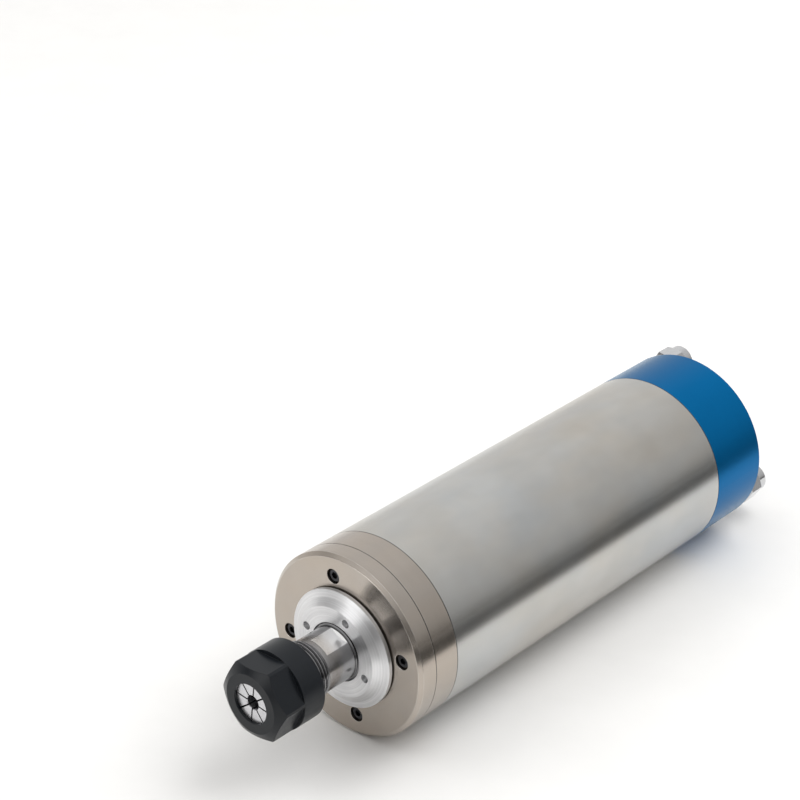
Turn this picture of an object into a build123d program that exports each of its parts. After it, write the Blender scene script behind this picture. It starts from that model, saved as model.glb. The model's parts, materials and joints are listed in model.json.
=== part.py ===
from build123d import *
import os
from dataclasses import dataclass
from math import atan2, cos, degrees, radians, sin, tan

# Frame: the spindle axis is Y, the nose points to -Y and +Z is up.
# The origin is on the axis, in the plane of the body's front face.

# Body stack, from the front face backwards
BODY_R = 40.0
BODY_LENGTH = 230.0
FRONT_COVER_LENGTH = 9.0
HOUSING_RING_LENGTH = 12.5
REAR_COVER_LENGTH = 32.0
SLEEVE_WALL = 1.8
FRONT_CHAMFER = 1.5
REAR_CHAMFER = 0.5
SEAM_CHAMFER = 0.2

# Gaps between pieces
SEAT_GAP = 0.01
RUNNING_GAP = 0.05
SLIP_GAP = 0.1
LABYRINTH_GAP = 0.4

# Edges, and how far a cutting or joining body runs past the face that it meets
EDGE_BREAK = 0.3
EDGE_CHAMFER = 0.5
CUT_PAST = 1.0
HOLE_SPARE = 0.5

# Screws: M3 in front, M4 at the back, each row set in from the body's outer edge
FRONT_SCREW_R = 1.5
FRONT_SCREW_HEAD_R = 2.75
FRONT_SCREW_HEAD_LENGTH = 3.0
FRONT_SCREW_GRIP = 6.8
FRONT_SCREW_SINK = 0.8
FRONT_SCREW_INSET = 9.6
FRONT_SCREW_PHASE = 11.0
REAR_SCREW_R = 2.0
REAR_SCREW_HEAD_R = 3.5
REAR_SCREW_HEAD_LENGTH = 4.0
REAR_SCREW_GRIP = 8.0
REAR_SCREW_SINK = 6.0
REAR_SCREW_INSET = 7.0
REAR_SCREW_PHASE = 0.0
SCREWS_PER_END = 4
SCREW_CLEARANCE = 0.2
SCREW_HEAD_CLEARANCE = 0.5
SOCKET_ACROSS_FLATS_SHARE = 0.9
SOCKET_DEPTH_SHARE = 0.55


@dataclass(frozen=True)
class BearingSize:
    """Sizes of one angular contact ball bearing."""

    bore_r: float
    outer_r: float
    width: float
    ball_r: float
    balls: int
    land: float

    @property
    def pitch_r(self):
        """Radius of the circle that the ball centres lie on."""
        return (self.bore_r + self.outer_r) / 2


# Bearings: a pair in front, one at the back
FRONT_BEARING = BearingSize(bore_r=12.5, outer_r=23.5, width=12.0, ball_r=3.175, balls=11, land=1.5)
REAR_BEARING = BearingSize(bore_r=7.5, outer_r=16.0, width=9.0, ball_r=2.38, balls=9, land=1.2)
BALL_GAP = 0.05
POCKET_GAP = 0.12
CAGE_GAP = 0.35
CAGE_WIDTH_SHARE = 0.8
RACE_RELIEF_SPARE = 0.5

# Front bearing housing
COVER_SPIGOT_LENGTH = 2.0
COVER_RECESS = 1.0
SPACER_LENGTH = 3.0
SPACER_STEP = 0.5
HOUSING_LIP_LENGTH = 4.0
HOUSING_LIP_HEIGHT = 3.0

# Dust cap, from its rim forwards
CAP_STAND = 0.7
CAP_RIM_WIDTH = 1.6
CAP_CONE_LENGTH = 3.2
CAP_STEEP_CONE_SHARE = 0.72
CAP_RIM_R = 25.6
CAP_HUB_R = 18.4
CAP_FACE_STEP = 1.2
CAP_HUB_SPACE = 3.0
CAP_MOUTH_GAP = 0.25
CAP_MOUTH_DEPTH = 2.0
CAP_NOSE_WALL = 2.7
CAP_HOLE_R = 1.8
CAP_HOLE_DEPTH = 2.6
CAP_HOLE_INSET = 3.2
CAP_HOLES = 4
CAP_HOLE_PHASE = 70.0
CAP_GROOVES = 2
CAP_GROOVE_DEPTH = 0.8
CAP_GROOVE_WIDTH = 1.2
CAP_GROOVE_START = 0.8
CAP_GROOVE_PITCH = 2.6

# Shaft: nose thread as wide as the front bearings' bore, neck with two flats, shoulder, rotor seat and tail
NOSE_SETBACK = 0.3
NOSE_CHAMFER = 0.6
THREAD_DEPTH = 0.92
THREAD_SHOWN = 7.7
THREAD_RUNOUT = 2.0
NECK_DROP = 0.9
NECK_LAND = 2.5
FLAT_LENGTH = 11.6
FLAT_TO_CAP = 1.2
FLATS_ACROSS = 21.0
FLATS_PHASE = 71.0
SHOULDER_HEIGHT = 3.0
SHOULDER_LENGTH = 5.0
SHAFT_MID_STEP = 2.0
ROTOR_SEAT_SPARE = 1.0
SHAFT_TAIL_STEP = 2.0
REAR_THREAD_R = 7.0
REAR_THREAD_SHOWN = 2.0
TAIL_CHAMFER = 1.0
TAIL_BORE_STEP = 0.4
TAIL_BORE_LENGTH = 11.7
SHANK_BORE_SPARE = 1.0
SHANK_BORE_LENGTH = 26.0

# Collet, a 20-size spring collet for a 6 mm shank
COLLET_LENGTH = 31.5
COLLET_TAPER = 8.0
COLLET_FACE_STEP = 2.0
COLLET_FACE_ANGLE = 30.0
COLLET_RIM_LENGTH = 0.4
COLLET_GROOVE_DEPTH = 1.6
COLLET_GROOVE_LENGTH = 2.3
COLLET_BORE_R = 3.0
COLLET_SLOT = 0.65
COLLET_SLOTS = 8
COLLET_SLOT_PHASE = -6.75
COLLET_WEB = 6.0
COLLET_RECESS = 1.3
NOSE_WALL = 2.0
TAPER_GAP = 0.03
TAPER_SPARE = 1.0

# Collet nut
NUT_LENGTH = 24.0
NUT_WALL = 4.5
NUT_FLAT_DEPTH = 2.0
NUT_HEX_LENGTH = 12.3
NUT_FLAT_PHASE = 93.0
NUT_FACE_STEP = 4.3
NUT_FACE_ANGLE = 30.0
NUT_REAR_CHAMFER = 0.8
NUT_LIP_GAP = 0.4
NUT_LIP_LENGTH = 1.7

# Motor: the stator fills the jacket, and its length is what the end turns leave between the two housings
WATER_JACKET_WALL = 2.8
WATER_CHANNEL_DEPTH = 3.2
STATOR_BORE_R = 17.4
FRONT_COIL_SPACE = 14.0
REAR_COIL_SPACE = 18.0
STATOR_SLOTS = 18
TOOTH_TIP = 2.1
YOKE = 4.2
SLOT_WIDTH = 4.6
SLOT_MOUTH = 1.8
COIL_GAP = 0.1
END_TURN_INNER_STEP = 0.5
END_TURN_OUTER_STEP = 1.6
END_TURN_LENGTH = 7.0
END_TURN_STANDOFF = 2.0
END_TURN_CHAMFER = 2.0
AIR_GAP = 0.4
ROTOR_BARS = 16
ROTOR_BRIDGE = 0.8
ROTOR_BAR_DEPTH = 3.6
ROTOR_BAR_WIDTH = 2.2
ROTOR_WEB = 0.8
END_RING_LENGTH = 6.0
END_RING_STEP = 0.4
END_RING_CHAMFER = 0.8

# Water jacket: a two-start helical rib, so the water goes forward in one channel and back in the other
RIB_WIDTH = 4.0
RIB_LEAD = 64.0
RIB_STARTS = 2
RIB_GAP = 0.05
RIB_FOOT = 0.4
RIB_END_SPACE = 2.0
FRONT_LAND_LENGTH = 5.0
TURNING_SPACE = 10.0
RIB_END_ANGLE = 41.0

# Rear bearing housing
REAR_SPIGOT_LENGTH = 14.0
REAR_LIP_LENGTH = 3.0
REAR_LIP_HEIGHT = 3.4
REAR_HUB_WALL = 4.0
REAR_HUB_LENGTH = 3.0
WAVE_SPRING_SPACE = 2.2
WAVE_SPRING_GAP = 0.2
WAVE_SPRING_WIDTH = 2.9
WAVE_SPRING_THICKNESS = 0.5
CIRCLIP_THICKNESS = 1.2
CIRCLIP_WIDTH = 3.4
CIRCLIP_GROOVE_DEPTH = 1.0
CIRCLIP_OPENING = 50.0
LOCK_NUT_WALL = 3.4
LOCK_NUT_LENGTH = 5.0
LOCK_NUT_SLOT = 3.0
LOCK_NUT_SLOT_DEPTH = 1.5
LOCK_NUT_SLOTS = 4
LOCK_NUT_SLOT_PHASE = 45.0

# O-rings
ORING_R = 1.2
ORING_SIDES = 8
ORING_GROOVE_WIDTH = 3.0
FRONT_ORING_INSET = 5.0
FRONT_ORING_PITCH = 8.0
FRONT_ORING_COUNT = 2
REAR_ORING_INSET = 4.5
PASSAGE_ORING_SECTION_R = 0.9
PASSAGE_ORING_GAP = 0.2

# Rear cover
REAR_CAVITY_INSET = 13.0
REAR_WALL = 8.0

# Water nozzles, one for each channel of the jacket
NOZZLE_ANGLES = (135.0, 313.0)
NOZZLE_HEX_TURN = 15.0
NOZZLE_INSET = 7.9
NOZZLE_ACROSS_FLATS = 14.0
NOZZLE_HEX_LENGTH = 5.0
NOZZLE_THREAD_R = 4.85
NOZZLE_FLOOR = 1.0
NOZZLE_NECK_R = 4.5
NOZZLE_NECK_LENGTH = 2.0
NOZZLE_BARREL_R = 5.0
NOZZLE_BARREL_LENGTH = 10.0
NOZZLE_BORE_R = 2.0
SPIGOT_WALL = 0.9
SPIGOT_LENGTH = 8.0
SPIGOT_TIP_LENGTH = 3.0
SPIGOT_TIP_DROP = 0.4
NOZZLE_NUT_START = 12.0
NOZZLE_NUT_HEX_LENGTH = 8.5
NOZZLE_NUT_COLLAR_WALL = 2.5
NOZZLE_NUT_COLLAR_LENGTH = 5.0
NOZZLE_NUT_SPARE = 0.8
HOSE_WALL = 1.2
PASSAGE_R = 1.6
PASSAGE_OVERRUN = 3.0
HEX_SIDES = 6
HEX_CHAMFER_ANGLE = 30.0

# Power socket, four pins
SOCKET_ANGLE = 222.0
SOCKET_INSET = 10.7
SOCKET_THREAD_R = 7.6
SOCKET_WALL = 1.2
SOCKET_FLANGE_STEP = 1.4
SOCKET_FLANGE_LENGTH = 1.5
SOCKET_LENGTH = 12.5
SOCKET_NUT_WALL = 1.4
SOCKET_NUT_LENGTH = 2.5
SOCKET_THREAD_SHOW = 0.5
INSERT_FACE = 2.5
INSERT_LENGTH = 9.0
PIN_R = 1.0
PIN_INSET = 2.8
PIN_HEIGHT = 5.0
PIN_TAIL = 4.0
PINS = 4
PIN_PHASE = 45.0

# Motor leads, through a hole beside the rear housing's hub
LEAD_R = 1.1
LEAD_BUNDLE_R = 1.75
LEAD_HOLE_R = 3.4
LEAD_HOLE_STEP = 3.8
LEAD_BEND_SPACE = 1.0
LEAD_STRAIGHT = 1.5

# Casing radii and stations worked out from the sizes above
SLEEVE_R_IN = BODY_R - SLEEVE_WALL
SPIGOT_OUTER_R = SLEEVE_R_IN - SEAT_GAP
COVER_BACK = FRONT_COVER_LENGTH
SLEEVE_FRONT = COVER_BACK + HOUSING_RING_LENGTH
REAR_COVER_FRONT = BODY_LENGTH - REAR_COVER_LENGTH
REAR_CAVITY_R = BODY_R - REAR_CAVITY_INSET
REAR_CAVITY_BACK = BODY_LENGTH - REAR_WALL
FRONT_SCREW_CIRCLE_R = BODY_R - FRONT_SCREW_INSET
FRONT_SCREW_SEAT = FRONT_SCREW_SINK + FRONT_SCREW_HEAD_LENGTH
FRONT_SCREW_LENGTH = COVER_BACK - FRONT_SCREW_SEAT + FRONT_SCREW_GRIP
REAR_SCREW_CIRCLE_R = BODY_R - REAR_SCREW_INSET
REAR_SCREW_SEAT = BODY_LENGTH - REAR_SCREW_SINK - REAR_SCREW_HEAD_LENGTH
REAR_SCREW_LENGTH = REAR_SCREW_SEAT - REAR_COVER_FRONT + REAR_SCREW_GRIP

# Bearing seats
BEARING_1 = COVER_BACK + COVER_SPIGOT_LENGTH
BEARING_2 = BEARING_1 + FRONT_BEARING.width + SPACER_LENGTH
HOUSING_LIP = BEARING_2 + FRONT_BEARING.width
HOUSING_LIP_R = FRONT_BEARING.outer_r - HOUSING_LIP_HEIGHT
HOUSING_END = HOUSING_LIP + HOUSING_LIP_LENGTH
REAR_HOUSING_FRONT = REAR_COVER_FRONT - REAR_SPIGOT_LENGTH
REAR_LIP_R = REAR_BEARING.outer_r - REAR_LIP_HEIGHT
BEARING_3 = REAR_HOUSING_FRONT + REAR_LIP_LENGTH
REAR_BEARING_BACK = BEARING_3 + REAR_BEARING.width
REAR_HUB_R = REAR_BEARING.outer_r + REAR_HUB_WALL
REAR_HUB_END = REAR_COVER_FRONT + REAR_HUB_LENGTH
CIRCLIP_START = REAR_BEARING_BACK + WAVE_SPRING_SPACE
WAVE_SPRING_R = REAR_BEARING.outer_r - WAVE_SPRING_GAP
LOCK_NUT_R = REAR_THREAD_R + LOCK_NUT_WALL
FRONT_ORINGS = [SLEEVE_FRONT + FRONT_ORING_INSET + FRONT_ORING_PITCH * k for k in range(FRONT_ORING_COUNT)]
REAR_ORINGS = [REAR_COVER_FRONT - REAR_ORING_INSET]

# Cap, nose, collet and nut, each placed from the one behind it
NOSE_THREAD_R = FRONT_BEARING.bore_r
THREAD_ROOT_R = NOSE_THREAD_R - THREAD_DEPTH
NECK_R = NOSE_THREAD_R - NECK_DROP
CAP_RIM_BACK = -CAP_STAND
CAP_RIM_FRONT = CAP_RIM_BACK - CAP_RIM_WIDTH
CAP_FACE = CAP_RIM_FRONT - CAP_CONE_LENGTH
CAP_FACE_R = CAP_HUB_R + CAP_FACE_STEP
CAP_CONE_STEP_R = (CAP_FACE_R + CAP_RIM_R) / 2
CAP_CONE_STEP = CAP_FACE + CAP_STEEP_CONE_SHARE * CAP_CONE_LENGTH
CAP_MOUTH_R = NOSE_THREAD_R + CAP_MOUTH_GAP
CAP_NOSE_R = NOSE_THREAD_R + CAP_NOSE_WALL
CAP_HUB_BACK = COVER_BACK - CAP_HUB_SPACE
CAP_HOLE_CIRCLE_R = CAP_FACE_R - CAP_HOLE_INSET
FLAT_END = CAP_FACE - FLAT_TO_CAP
FLAT_START = FLAT_END - FLAT_LENGTH
NOSE_THREAD_END = FLAT_START - NECK_LAND
NUT_REAR = NOSE_THREAD_END - THREAD_SHOWN
NUT_FRONT = NUT_REAR - NUT_LENGTH
NUT_R = NOSE_THREAD_R + NUT_WALL
NUT_ACROSS_FLATS = 2 * (NUT_R - NUT_FLAT_DEPTH)
NUT_FACE_R = NUT_R - NUT_FACE_STEP
COLLET_R = NOSE_THREAD_R - NOSE_WALL
COLLET_FACE_R = COLLET_R - COLLET_FACE_STEP
COLLET_GROOVE_R = COLLET_R - COLLET_GROOVE_DEPTH
NUT_LIP_R = COLLET_GROOVE_R + NUT_LIP_GAP
COLLET_FACE = NUT_FRONT + COLLET_RECESS
COLLET_CONE_END = COLLET_FACE + (COLLET_R - COLLET_FACE_R) / tan(radians(COLLET_FACE_ANGLE))
COLLET_RIM_END = COLLET_CONE_END + COLLET_RIM_LENGTH
COLLET_TAPER_START = COLLET_RIM_END + COLLET_GROOVE_LENGTH
COLLET_END = COLLET_FACE + COLLET_LENGTH
NOSE_FACE = COLLET_TAPER_START + NOSE_SETBACK
TAIL_BORE_START = COLLET_END + TAPER_SPARE
TAIL_BORE_END = COLLET_END + TAIL_BORE_LENGTH
SHANK_BORE_R = COLLET_BORE_R + SHANK_BORE_SPARE
SHANK_BORE_END = TAIL_BORE_END + SHANK_BORE_LENGTH

# Motor radii and stations
JACKET_R = SLEEVE_R_IN - WATER_CHANNEL_DEPTH
STATOR_OUTER_R = JACKET_R - WATER_JACKET_WALL
STATOR_START = HOUSING_END + FRONT_COIL_SPACE
STATOR_END = REAR_HOUSING_FRONT - REAR_COIL_SPACE
STATOR_LENGTH = STATOR_END - STATOR_START
SLOT_INNER_R = STATOR_BORE_R + TOOTH_TIP
SLOT_OUTER_R = STATOR_OUTER_R - YOKE
END_TURN_INNER_R = SLOT_INNER_R + END_TURN_INNER_STEP
END_TURN_OUTER_R = SLOT_OUTER_R + END_TURN_OUTER_STEP
ROTOR_R = STATOR_BORE_R - AIR_GAP
ROTOR_BAR_OUTER_R = ROTOR_R - ROTOR_BRIDGE
ROTOR_BAR_INNER_R = ROTOR_BAR_OUTER_R - ROTOR_BAR_DEPTH
END_RING_INNER_R = ROTOR_BAR_INNER_R - ROTOR_WEB
ROTOR_SEAT_R = END_RING_INNER_R - ROTOR_WEB
ROTOR_FRONT = STATOR_START - END_RING_LENGTH - ROTOR_SEAT_SPARE
ROTOR_BACK = STATOR_END + END_RING_LENGTH + ROTOR_SEAT_SPARE
SHAFT_MID_R = ROTOR_SEAT_R + SHAFT_MID_STEP
SHOULDER_R = FRONT_BEARING.bore_r + SHOULDER_HEIGHT
SHAFT_TAIL_R = REAR_BEARING.bore_r + SHAFT_TAIL_STEP
SHAFT_END = REAR_BEARING_BACK + LOCK_NUT_LENGTH + REAR_THREAD_SHOWN

# Nozzles, socket and leads
NOZZLE_CIRCLE_R = BODY_R - NOZZLE_INSET
NOZZLE_THREAD_LENGTH = REAR_WALL - NOZZLE_FLOOR
SPIGOT_R = NOZZLE_BORE_R + SPIGOT_WALL
SPIGOT_TIP_R = SPIGOT_R - SPIGOT_TIP_DROP
HOSE_R = SPIGOT_R + HOSE_WALL
NOZZLE_NUT_COLLAR_R = HOSE_R + NOZZLE_NUT_COLLAR_WALL
PASSAGE_ORING_R = PASSAGE_R + PASSAGE_ORING_GAP + 2 * PASSAGE_ORING_SECTION_R
PASSAGE_JACKET_R = (JACKET_R + SLEEVE_R_IN) / 2
SOCKET_CIRCLE_R = REAR_CAVITY_R - SOCKET_INSET
SOCKET_INNER_R = SOCKET_THREAD_R - SOCKET_WALL
SOCKET_FLANGE_R = SOCKET_THREAD_R + SOCKET_FLANGE_STEP
SOCKET_NUT_ACROSS_FLATS = 2 * (SOCKET_THREAD_R + SOCKET_NUT_WALL)
PIN_CIRCLE_R = SOCKET_INNER_R - PIN_INSET
LEAD_HOLE_CIRCLE_R = REAR_HUB_R + LEAD_HOLE_STEP


def turned(points):
    """Solid of revolution about the spindle axis from (radius, y) points."""
    return revolve(make_face(Polyline(*points, close=True)), axis=Axis.Y)


def ring(inner_r, outer_r, start, end, chamfer=0.0):
    """Plain ring about the spindle axis, with its outer corners chamfered."""
    outline = [
        (inner_r, start),
        (outer_r - chamfer, start),
        (outer_r, start + chamfer),
        (outer_r, end - chamfer),
        (outer_r - chamfer, end),
        (inner_r, end),
    ]
    return turned(outline if chamfer else [outline[0], outline[1], outline[4], outline[5]])


def at(circle_r, angle, y=0.0):
    """Location on a circle about the axis, at an angle from +X towards +Z."""
    return Pos(circle_r * cos(radians(angle)), y, circle_r * sin(radians(angle)))


def rod(radius, start, end):
    """Cylinder along Y through the axis, from start to end."""
    return Pos(0, (start + end) / 2, 0) * Rot(90, 0, 0) * Cylinder(radius, end - start)


def prism(sketch, start, end):
    """A sketch in the XZ plane pushed along Y from start to end."""
    return extrude(Plane.XZ.offset(-start) * sketch, amount=start - end)


def hexagon(across_flats, flat_angle=90.0):
    """Hexagon in the XZ plane with one flat facing the given angle."""
    return Rot(0, 0, flat_angle - 90) * RegularPolygon(across_flats / 2, HEX_SIDES, major_radius=False)


def circle_of(count, phase):
    """Angles of evenly spaced copies."""
    return [phase + 360 * k / count for k in range(count)]


def taper_r(y):
    """Radius of the collet's long taper at a place on the axis."""
    return COLLET_R - (y - COLLET_TAPER_START) * tan(radians(COLLET_TAPER))


def socket_screw(radius, head_r, head_length, length):
    """Socket head cap screw along +Y, with the underside of its head at the origin."""
    blank = turned([
        (0, -head_length),
        (head_r - EDGE_BREAK, -head_length),
        (head_r, -head_length + EDGE_BREAK),
        (head_r, 0),
        (radius, 0),
        (radius, length - EDGE_CHAMFER),
        (radius - EDGE_CHAMFER, length),
        (0, length),
    ])
    key = hexagon(radius * 2 * SOCKET_ACROSS_FLATS_SHARE)
    return blank - prism(key, -head_length, -head_length * (1 - SOCKET_DEPTH_SHARE))


# Casing

def outer_sleeve():
    """Brushed tube round the motor."""
    return turned([
        (SLEEVE_R_IN, SLEEVE_FRONT),
        (BODY_R - SEAM_CHAMFER, SLEEVE_FRONT),
        (BODY_R, SLEEVE_FRONT + SEAM_CHAMFER),
        (BODY_R, REAR_COVER_FRONT - SEAM_CHAMFER),
        (BODY_R - SEAM_CHAMFER, REAR_COVER_FRONT),
        (SLEEVE_R_IN, REAR_COVER_FRONT),
    ])


def front_cover():
    """Front plate whose spigot clamps the first bearing's outer ring."""
    bore_r = CAP_HUB_R + LABYRINTH_GAP
    spigot_r = FRONT_BEARING.outer_r - SLIP_GAP
    cover = turned([
        (bore_r, 0),
        (BODY_R - FRONT_CHAMFER, 0),
        (BODY_R, FRONT_CHAMFER),
        (BODY_R, COVER_BACK - SEAM_CHAMFER),
        (BODY_R - SEAM_CHAMFER, COVER_BACK),
        (spigot_r, COVER_BACK),
        (spigot_r, BEARING_1),
        (HOUSING_LIP_R, BEARING_1),
        (HOUSING_LIP_R, COVER_BACK - COVER_RECESS),
        (bore_r, COVER_BACK - COVER_RECESS),
    ])
    sink = rod(FRONT_SCREW_HEAD_R + SCREW_HEAD_CLEARANCE, -CUT_PAST, FRONT_SCREW_SEAT)
    hole = rod(FRONT_SCREW_R + SCREW_CLEARANCE, 0, COVER_BACK + CUT_PAST)
    for angle in circle_of(SCREWS_PER_END, FRONT_SCREW_PHASE):
        cover -= at(FRONT_SCREW_CIRCLE_R, angle) * sink
        cover -= at(FRONT_SCREW_CIRCLE_R, angle) * hole
    return cover


def front_bearing_housing():
    """Ring seen between cover and sleeve, with the bearing bore and a sealed spigot in the sleeve."""
    housing = turned([
        (FRONT_BEARING.outer_r + SEAT_GAP, COVER_BACK),
        (BODY_R - SEAM_CHAMFER, COVER_BACK),
        (BODY_R, COVER_BACK + SEAM_CHAMFER),
        (BODY_R, SLEEVE_FRONT - SEAM_CHAMFER),
        (BODY_R - SEAM_CHAMFER, SLEEVE_FRONT),
        (SPIGOT_OUTER_R, SLEEVE_FRONT),
        (SPIGOT_OUTER_R, HOUSING_END),
        (HOUSING_LIP_R, HOUSING_END),
        (HOUSING_LIP_R, HOUSING_LIP),
        (FRONT_BEARING.outer_r + SEAT_GAP, HOUSING_LIP),
    ])
    for y in FRONT_ORINGS:
        housing -= oring_groove(y)
    end = FRONT_SCREW_SEAT + FRONT_SCREW_LENGTH + HOLE_SPARE
    for angle in circle_of(SCREWS_PER_END, FRONT_SCREW_PHASE):
        housing -= at(FRONT_SCREW_CIRCLE_R, angle) * rod(FRONT_SCREW_R + SEAT_GAP, COVER_BACK, end)
    return housing


def oring_groove(y):
    """Ring that cuts an O-ring groove into a spigot."""
    return ring(SPIGOT_OUTER_R - 2 * ORING_R, BODY_R, y - ORING_GROOVE_WIDTH / 2, y + ORING_GROOVE_WIDTH / 2)


def orings(places):
    """O-rings that seal a spigot against the sleeve."""
    section = RegularPolygon(ORING_R, ORING_SIDES)
    centre_r = SLEEVE_R_IN - ORING_R - SEAT_GAP
    return [revolve(Pos(centre_r, y) * section, axis=Axis.Y) for y in places]


def front_cover_screws():
    """Four screws sunk in the front cover."""
    screw = socket_screw(FRONT_SCREW_R, FRONT_SCREW_HEAD_R, FRONT_SCREW_HEAD_LENGTH, FRONT_SCREW_LENGTH)
    angles = circle_of(SCREWS_PER_END, FRONT_SCREW_PHASE)
    return [at(FRONT_SCREW_CIRCLE_R, angle, FRONT_SCREW_SEAT) * screw for angle in angles]


def water_passage():
    """Slanted drilling from a nozzle's bore out to the jacket's channel."""
    rise = PASSAGE_JACKET_R - NOZZLE_CIRCLE_R
    lean = degrees(atan2(rise, REAR_SPIGOT_LENGTH))
    length = REAR_SPIGOT_LENGTH + 2 * PASSAGE_OVERRUN
    middle = (PASSAGE_JACKET_R + NOZZLE_CIRCLE_R) / 2
    drill = Rot(90, 0, 0) * Cylinder(PASSAGE_R, length)
    return Pos(middle, (REAR_HOUSING_FRONT + REAR_COVER_FRONT) / 2, 0) * Rot(0, 0, lean) * drill


def rear_bearing_housing():
    """Flange inside the sleeve's back end that holds the rear bearing and passes water and leads."""
    bore_r = REAR_BEARING.outer_r + SEAT_GAP
    housing = turned([
        (REAR_LIP_R, REAR_HOUSING_FRONT),
        (SPIGOT_OUTER_R, REAR_HOUSING_FRONT),
        (SPIGOT_OUTER_R, REAR_COVER_FRONT),
        (REAR_HUB_R, REAR_COVER_FRONT),
        (REAR_HUB_R, REAR_HUB_END),
        (bore_r, REAR_HUB_END),
        (bore_r, BEARING_3),
        (REAR_LIP_R, BEARING_3),
    ])
    clip_end = CIRCLIP_START + CIRCLIP_THICKNESS
    housing -= ring(bore_r - CUT_PAST, bore_r + CIRCLIP_GROOVE_DEPTH, CIRCLIP_START, clip_end)
    for y in REAR_ORINGS:
        housing -= oring_groove(y)
    for angle in NOZZLE_ANGLES:
        housing -= Rot(0, -angle, 0) * water_passage()
    lead_hole = rod(LEAD_HOLE_R, REAR_HOUSING_FRONT - CUT_PAST, REAR_COVER_FRONT + CUT_PAST)
    housing -= at(LEAD_HOLE_CIRCLE_R, SOCKET_ANGLE) * lead_hole
    tip = REAR_SCREW_SEAT - REAR_SCREW_LENGTH - HOLE_SPARE
    for angle in circle_of(SCREWS_PER_END, REAR_SCREW_PHASE):
        housing -= at(REAR_SCREW_CIRCLE_R, angle) * rod(REAR_SCREW_R + SEAT_GAP, tip, REAR_COVER_FRONT)
    return housing


def rear_cover():
    """Anodised end cap: a thick wall with the water drillings and screws, round the wiring space."""
    cover = turned([
        (REAR_CAVITY_R, REAR_COVER_FRONT),
        (BODY_R - SEAM_CHAMFER, REAR_COVER_FRONT),
        (BODY_R, REAR_COVER_FRONT + SEAM_CHAMFER),
        (BODY_R, BODY_LENGTH - REAR_CHAMFER),
        (BODY_R - REAR_CHAMFER, BODY_LENGTH),
        (0, BODY_LENGTH),
        (0, REAR_CAVITY_BACK),
        (REAR_CAVITY_R, REAR_CAVITY_BACK),
    ])
    thread_end = BODY_LENGTH - NOZZLE_THREAD_LENGTH - HOLE_SPARE
    pocket_end = REAR_COVER_FRONT + 2 * PASSAGE_ORING_SECTION_R
    pocket = ring(0, PASSAGE_ORING_R + SEAT_GAP, REAR_COVER_FRONT, pocket_end)
    for angle in NOZZLE_ANGLES:
        place = at(NOZZLE_CIRCLE_R, angle)
        cover -= place * rod(NOZZLE_THREAD_R + SEAT_GAP, thread_end, BODY_LENGTH + CUT_PAST)
        cover -= place * rod(PASSAGE_R, REAR_COVER_FRONT - CUT_PAST, thread_end + CUT_PAST)
        cover -= place * pocket
    sink = rod(REAR_SCREW_HEAD_R + SCREW_HEAD_CLEARANCE, REAR_SCREW_SEAT, BODY_LENGTH + CUT_PAST)
    hole = rod(REAR_SCREW_R + SCREW_CLEARANCE, REAR_COVER_FRONT - CUT_PAST, REAR_SCREW_SEAT + CUT_PAST)
    for angle in circle_of(SCREWS_PER_END, REAR_SCREW_PHASE):
        cover -= at(REAR_SCREW_CIRCLE_R, angle) * sink
        cover -= at(REAR_SCREW_CIRCLE_R, angle) * hole
    socket_hole = rod(SOCKET_THREAD_R + SEAT_GAP, REAR_CAVITY_BACK - CUT_PAST, BODY_LENGTH + CUT_PAST)
    return cover - at(SOCKET_CIRCLE_R, SOCKET_ANGLE) * socket_hole


def rear_cover_screws():
    """Four long screws through the rear cover into the rear bearing housing."""
    screw = Rot(0, 0, 180) * socket_screw(
        REAR_SCREW_R, REAR_SCREW_HEAD_R, REAR_SCREW_HEAD_LENGTH, REAR_SCREW_LENGTH
    )
    angles = circle_of(SCREWS_PER_END, REAR_SCREW_PHASE)
    return [at(REAR_SCREW_CIRCLE_R, angle, REAR_SCREW_SEAT) * screw for angle in angles]


def passage_orings():
    """Small O-rings round the water drillings, between cover and housing."""
    section = RegularPolygon(PASSAGE_ORING_SECTION_R - SEAT_GAP, ORING_SIDES)
    centre_r = PASSAGE_ORING_R - PASSAGE_ORING_SECTION_R
    oring = revolve(Pos(centre_r, REAR_COVER_FRONT + PASSAGE_ORING_SECTION_R) * section, axis=Axis.Y)
    return [at(NOZZLE_CIRCLE_R, angle) * oring for angle in NOZZLE_ANGLES]


# Bearings

def race_section(size, inner):
    """Half section of a bearing ring, with its groove and one relieved shoulder."""
    middle = size.width / 2
    relief = size.ball_r - size.land - RACE_RELIEF_SPARE
    if inner:
        high, low = size.pitch_r - size.land, size.pitch_r - size.land - relief / 2
        outline = [(size.bore_r, 0), (low, 0), (high, middle), (high, size.width), (size.bore_r, size.width)]
    else:
        low, high = size.pitch_r + size.land, size.pitch_r + size.land + relief
        outline = [(size.outer_r, 0), (low, 0), (low, middle), (high, size.width), (size.outer_r, size.width)]
    face = make_face(Polyline(*outline, close=True))
    return face - Pos(size.pitch_r, middle) * Circle(size.ball_r + BALL_GAP)


def bearing_ring(size, inner, start, flipped):
    """One bearing ring; a flipped one has its relieved shoulder on the other side."""
    body = revolve(race_section(size, inner), axis=Axis.Y)
    if flipped:
        body = Pos(0, size.width, 0) * Rot(180, 0, 0) * body
    return Pos(0, start, 0) * body


def bearing_balls(size, start):
    """The balls of one bearing."""
    ball = Sphere(size.ball_r)
    return [at(size.pitch_r, angle, start + size.width / 2) * ball for angle in circle_of(size.balls, 0)]


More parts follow.
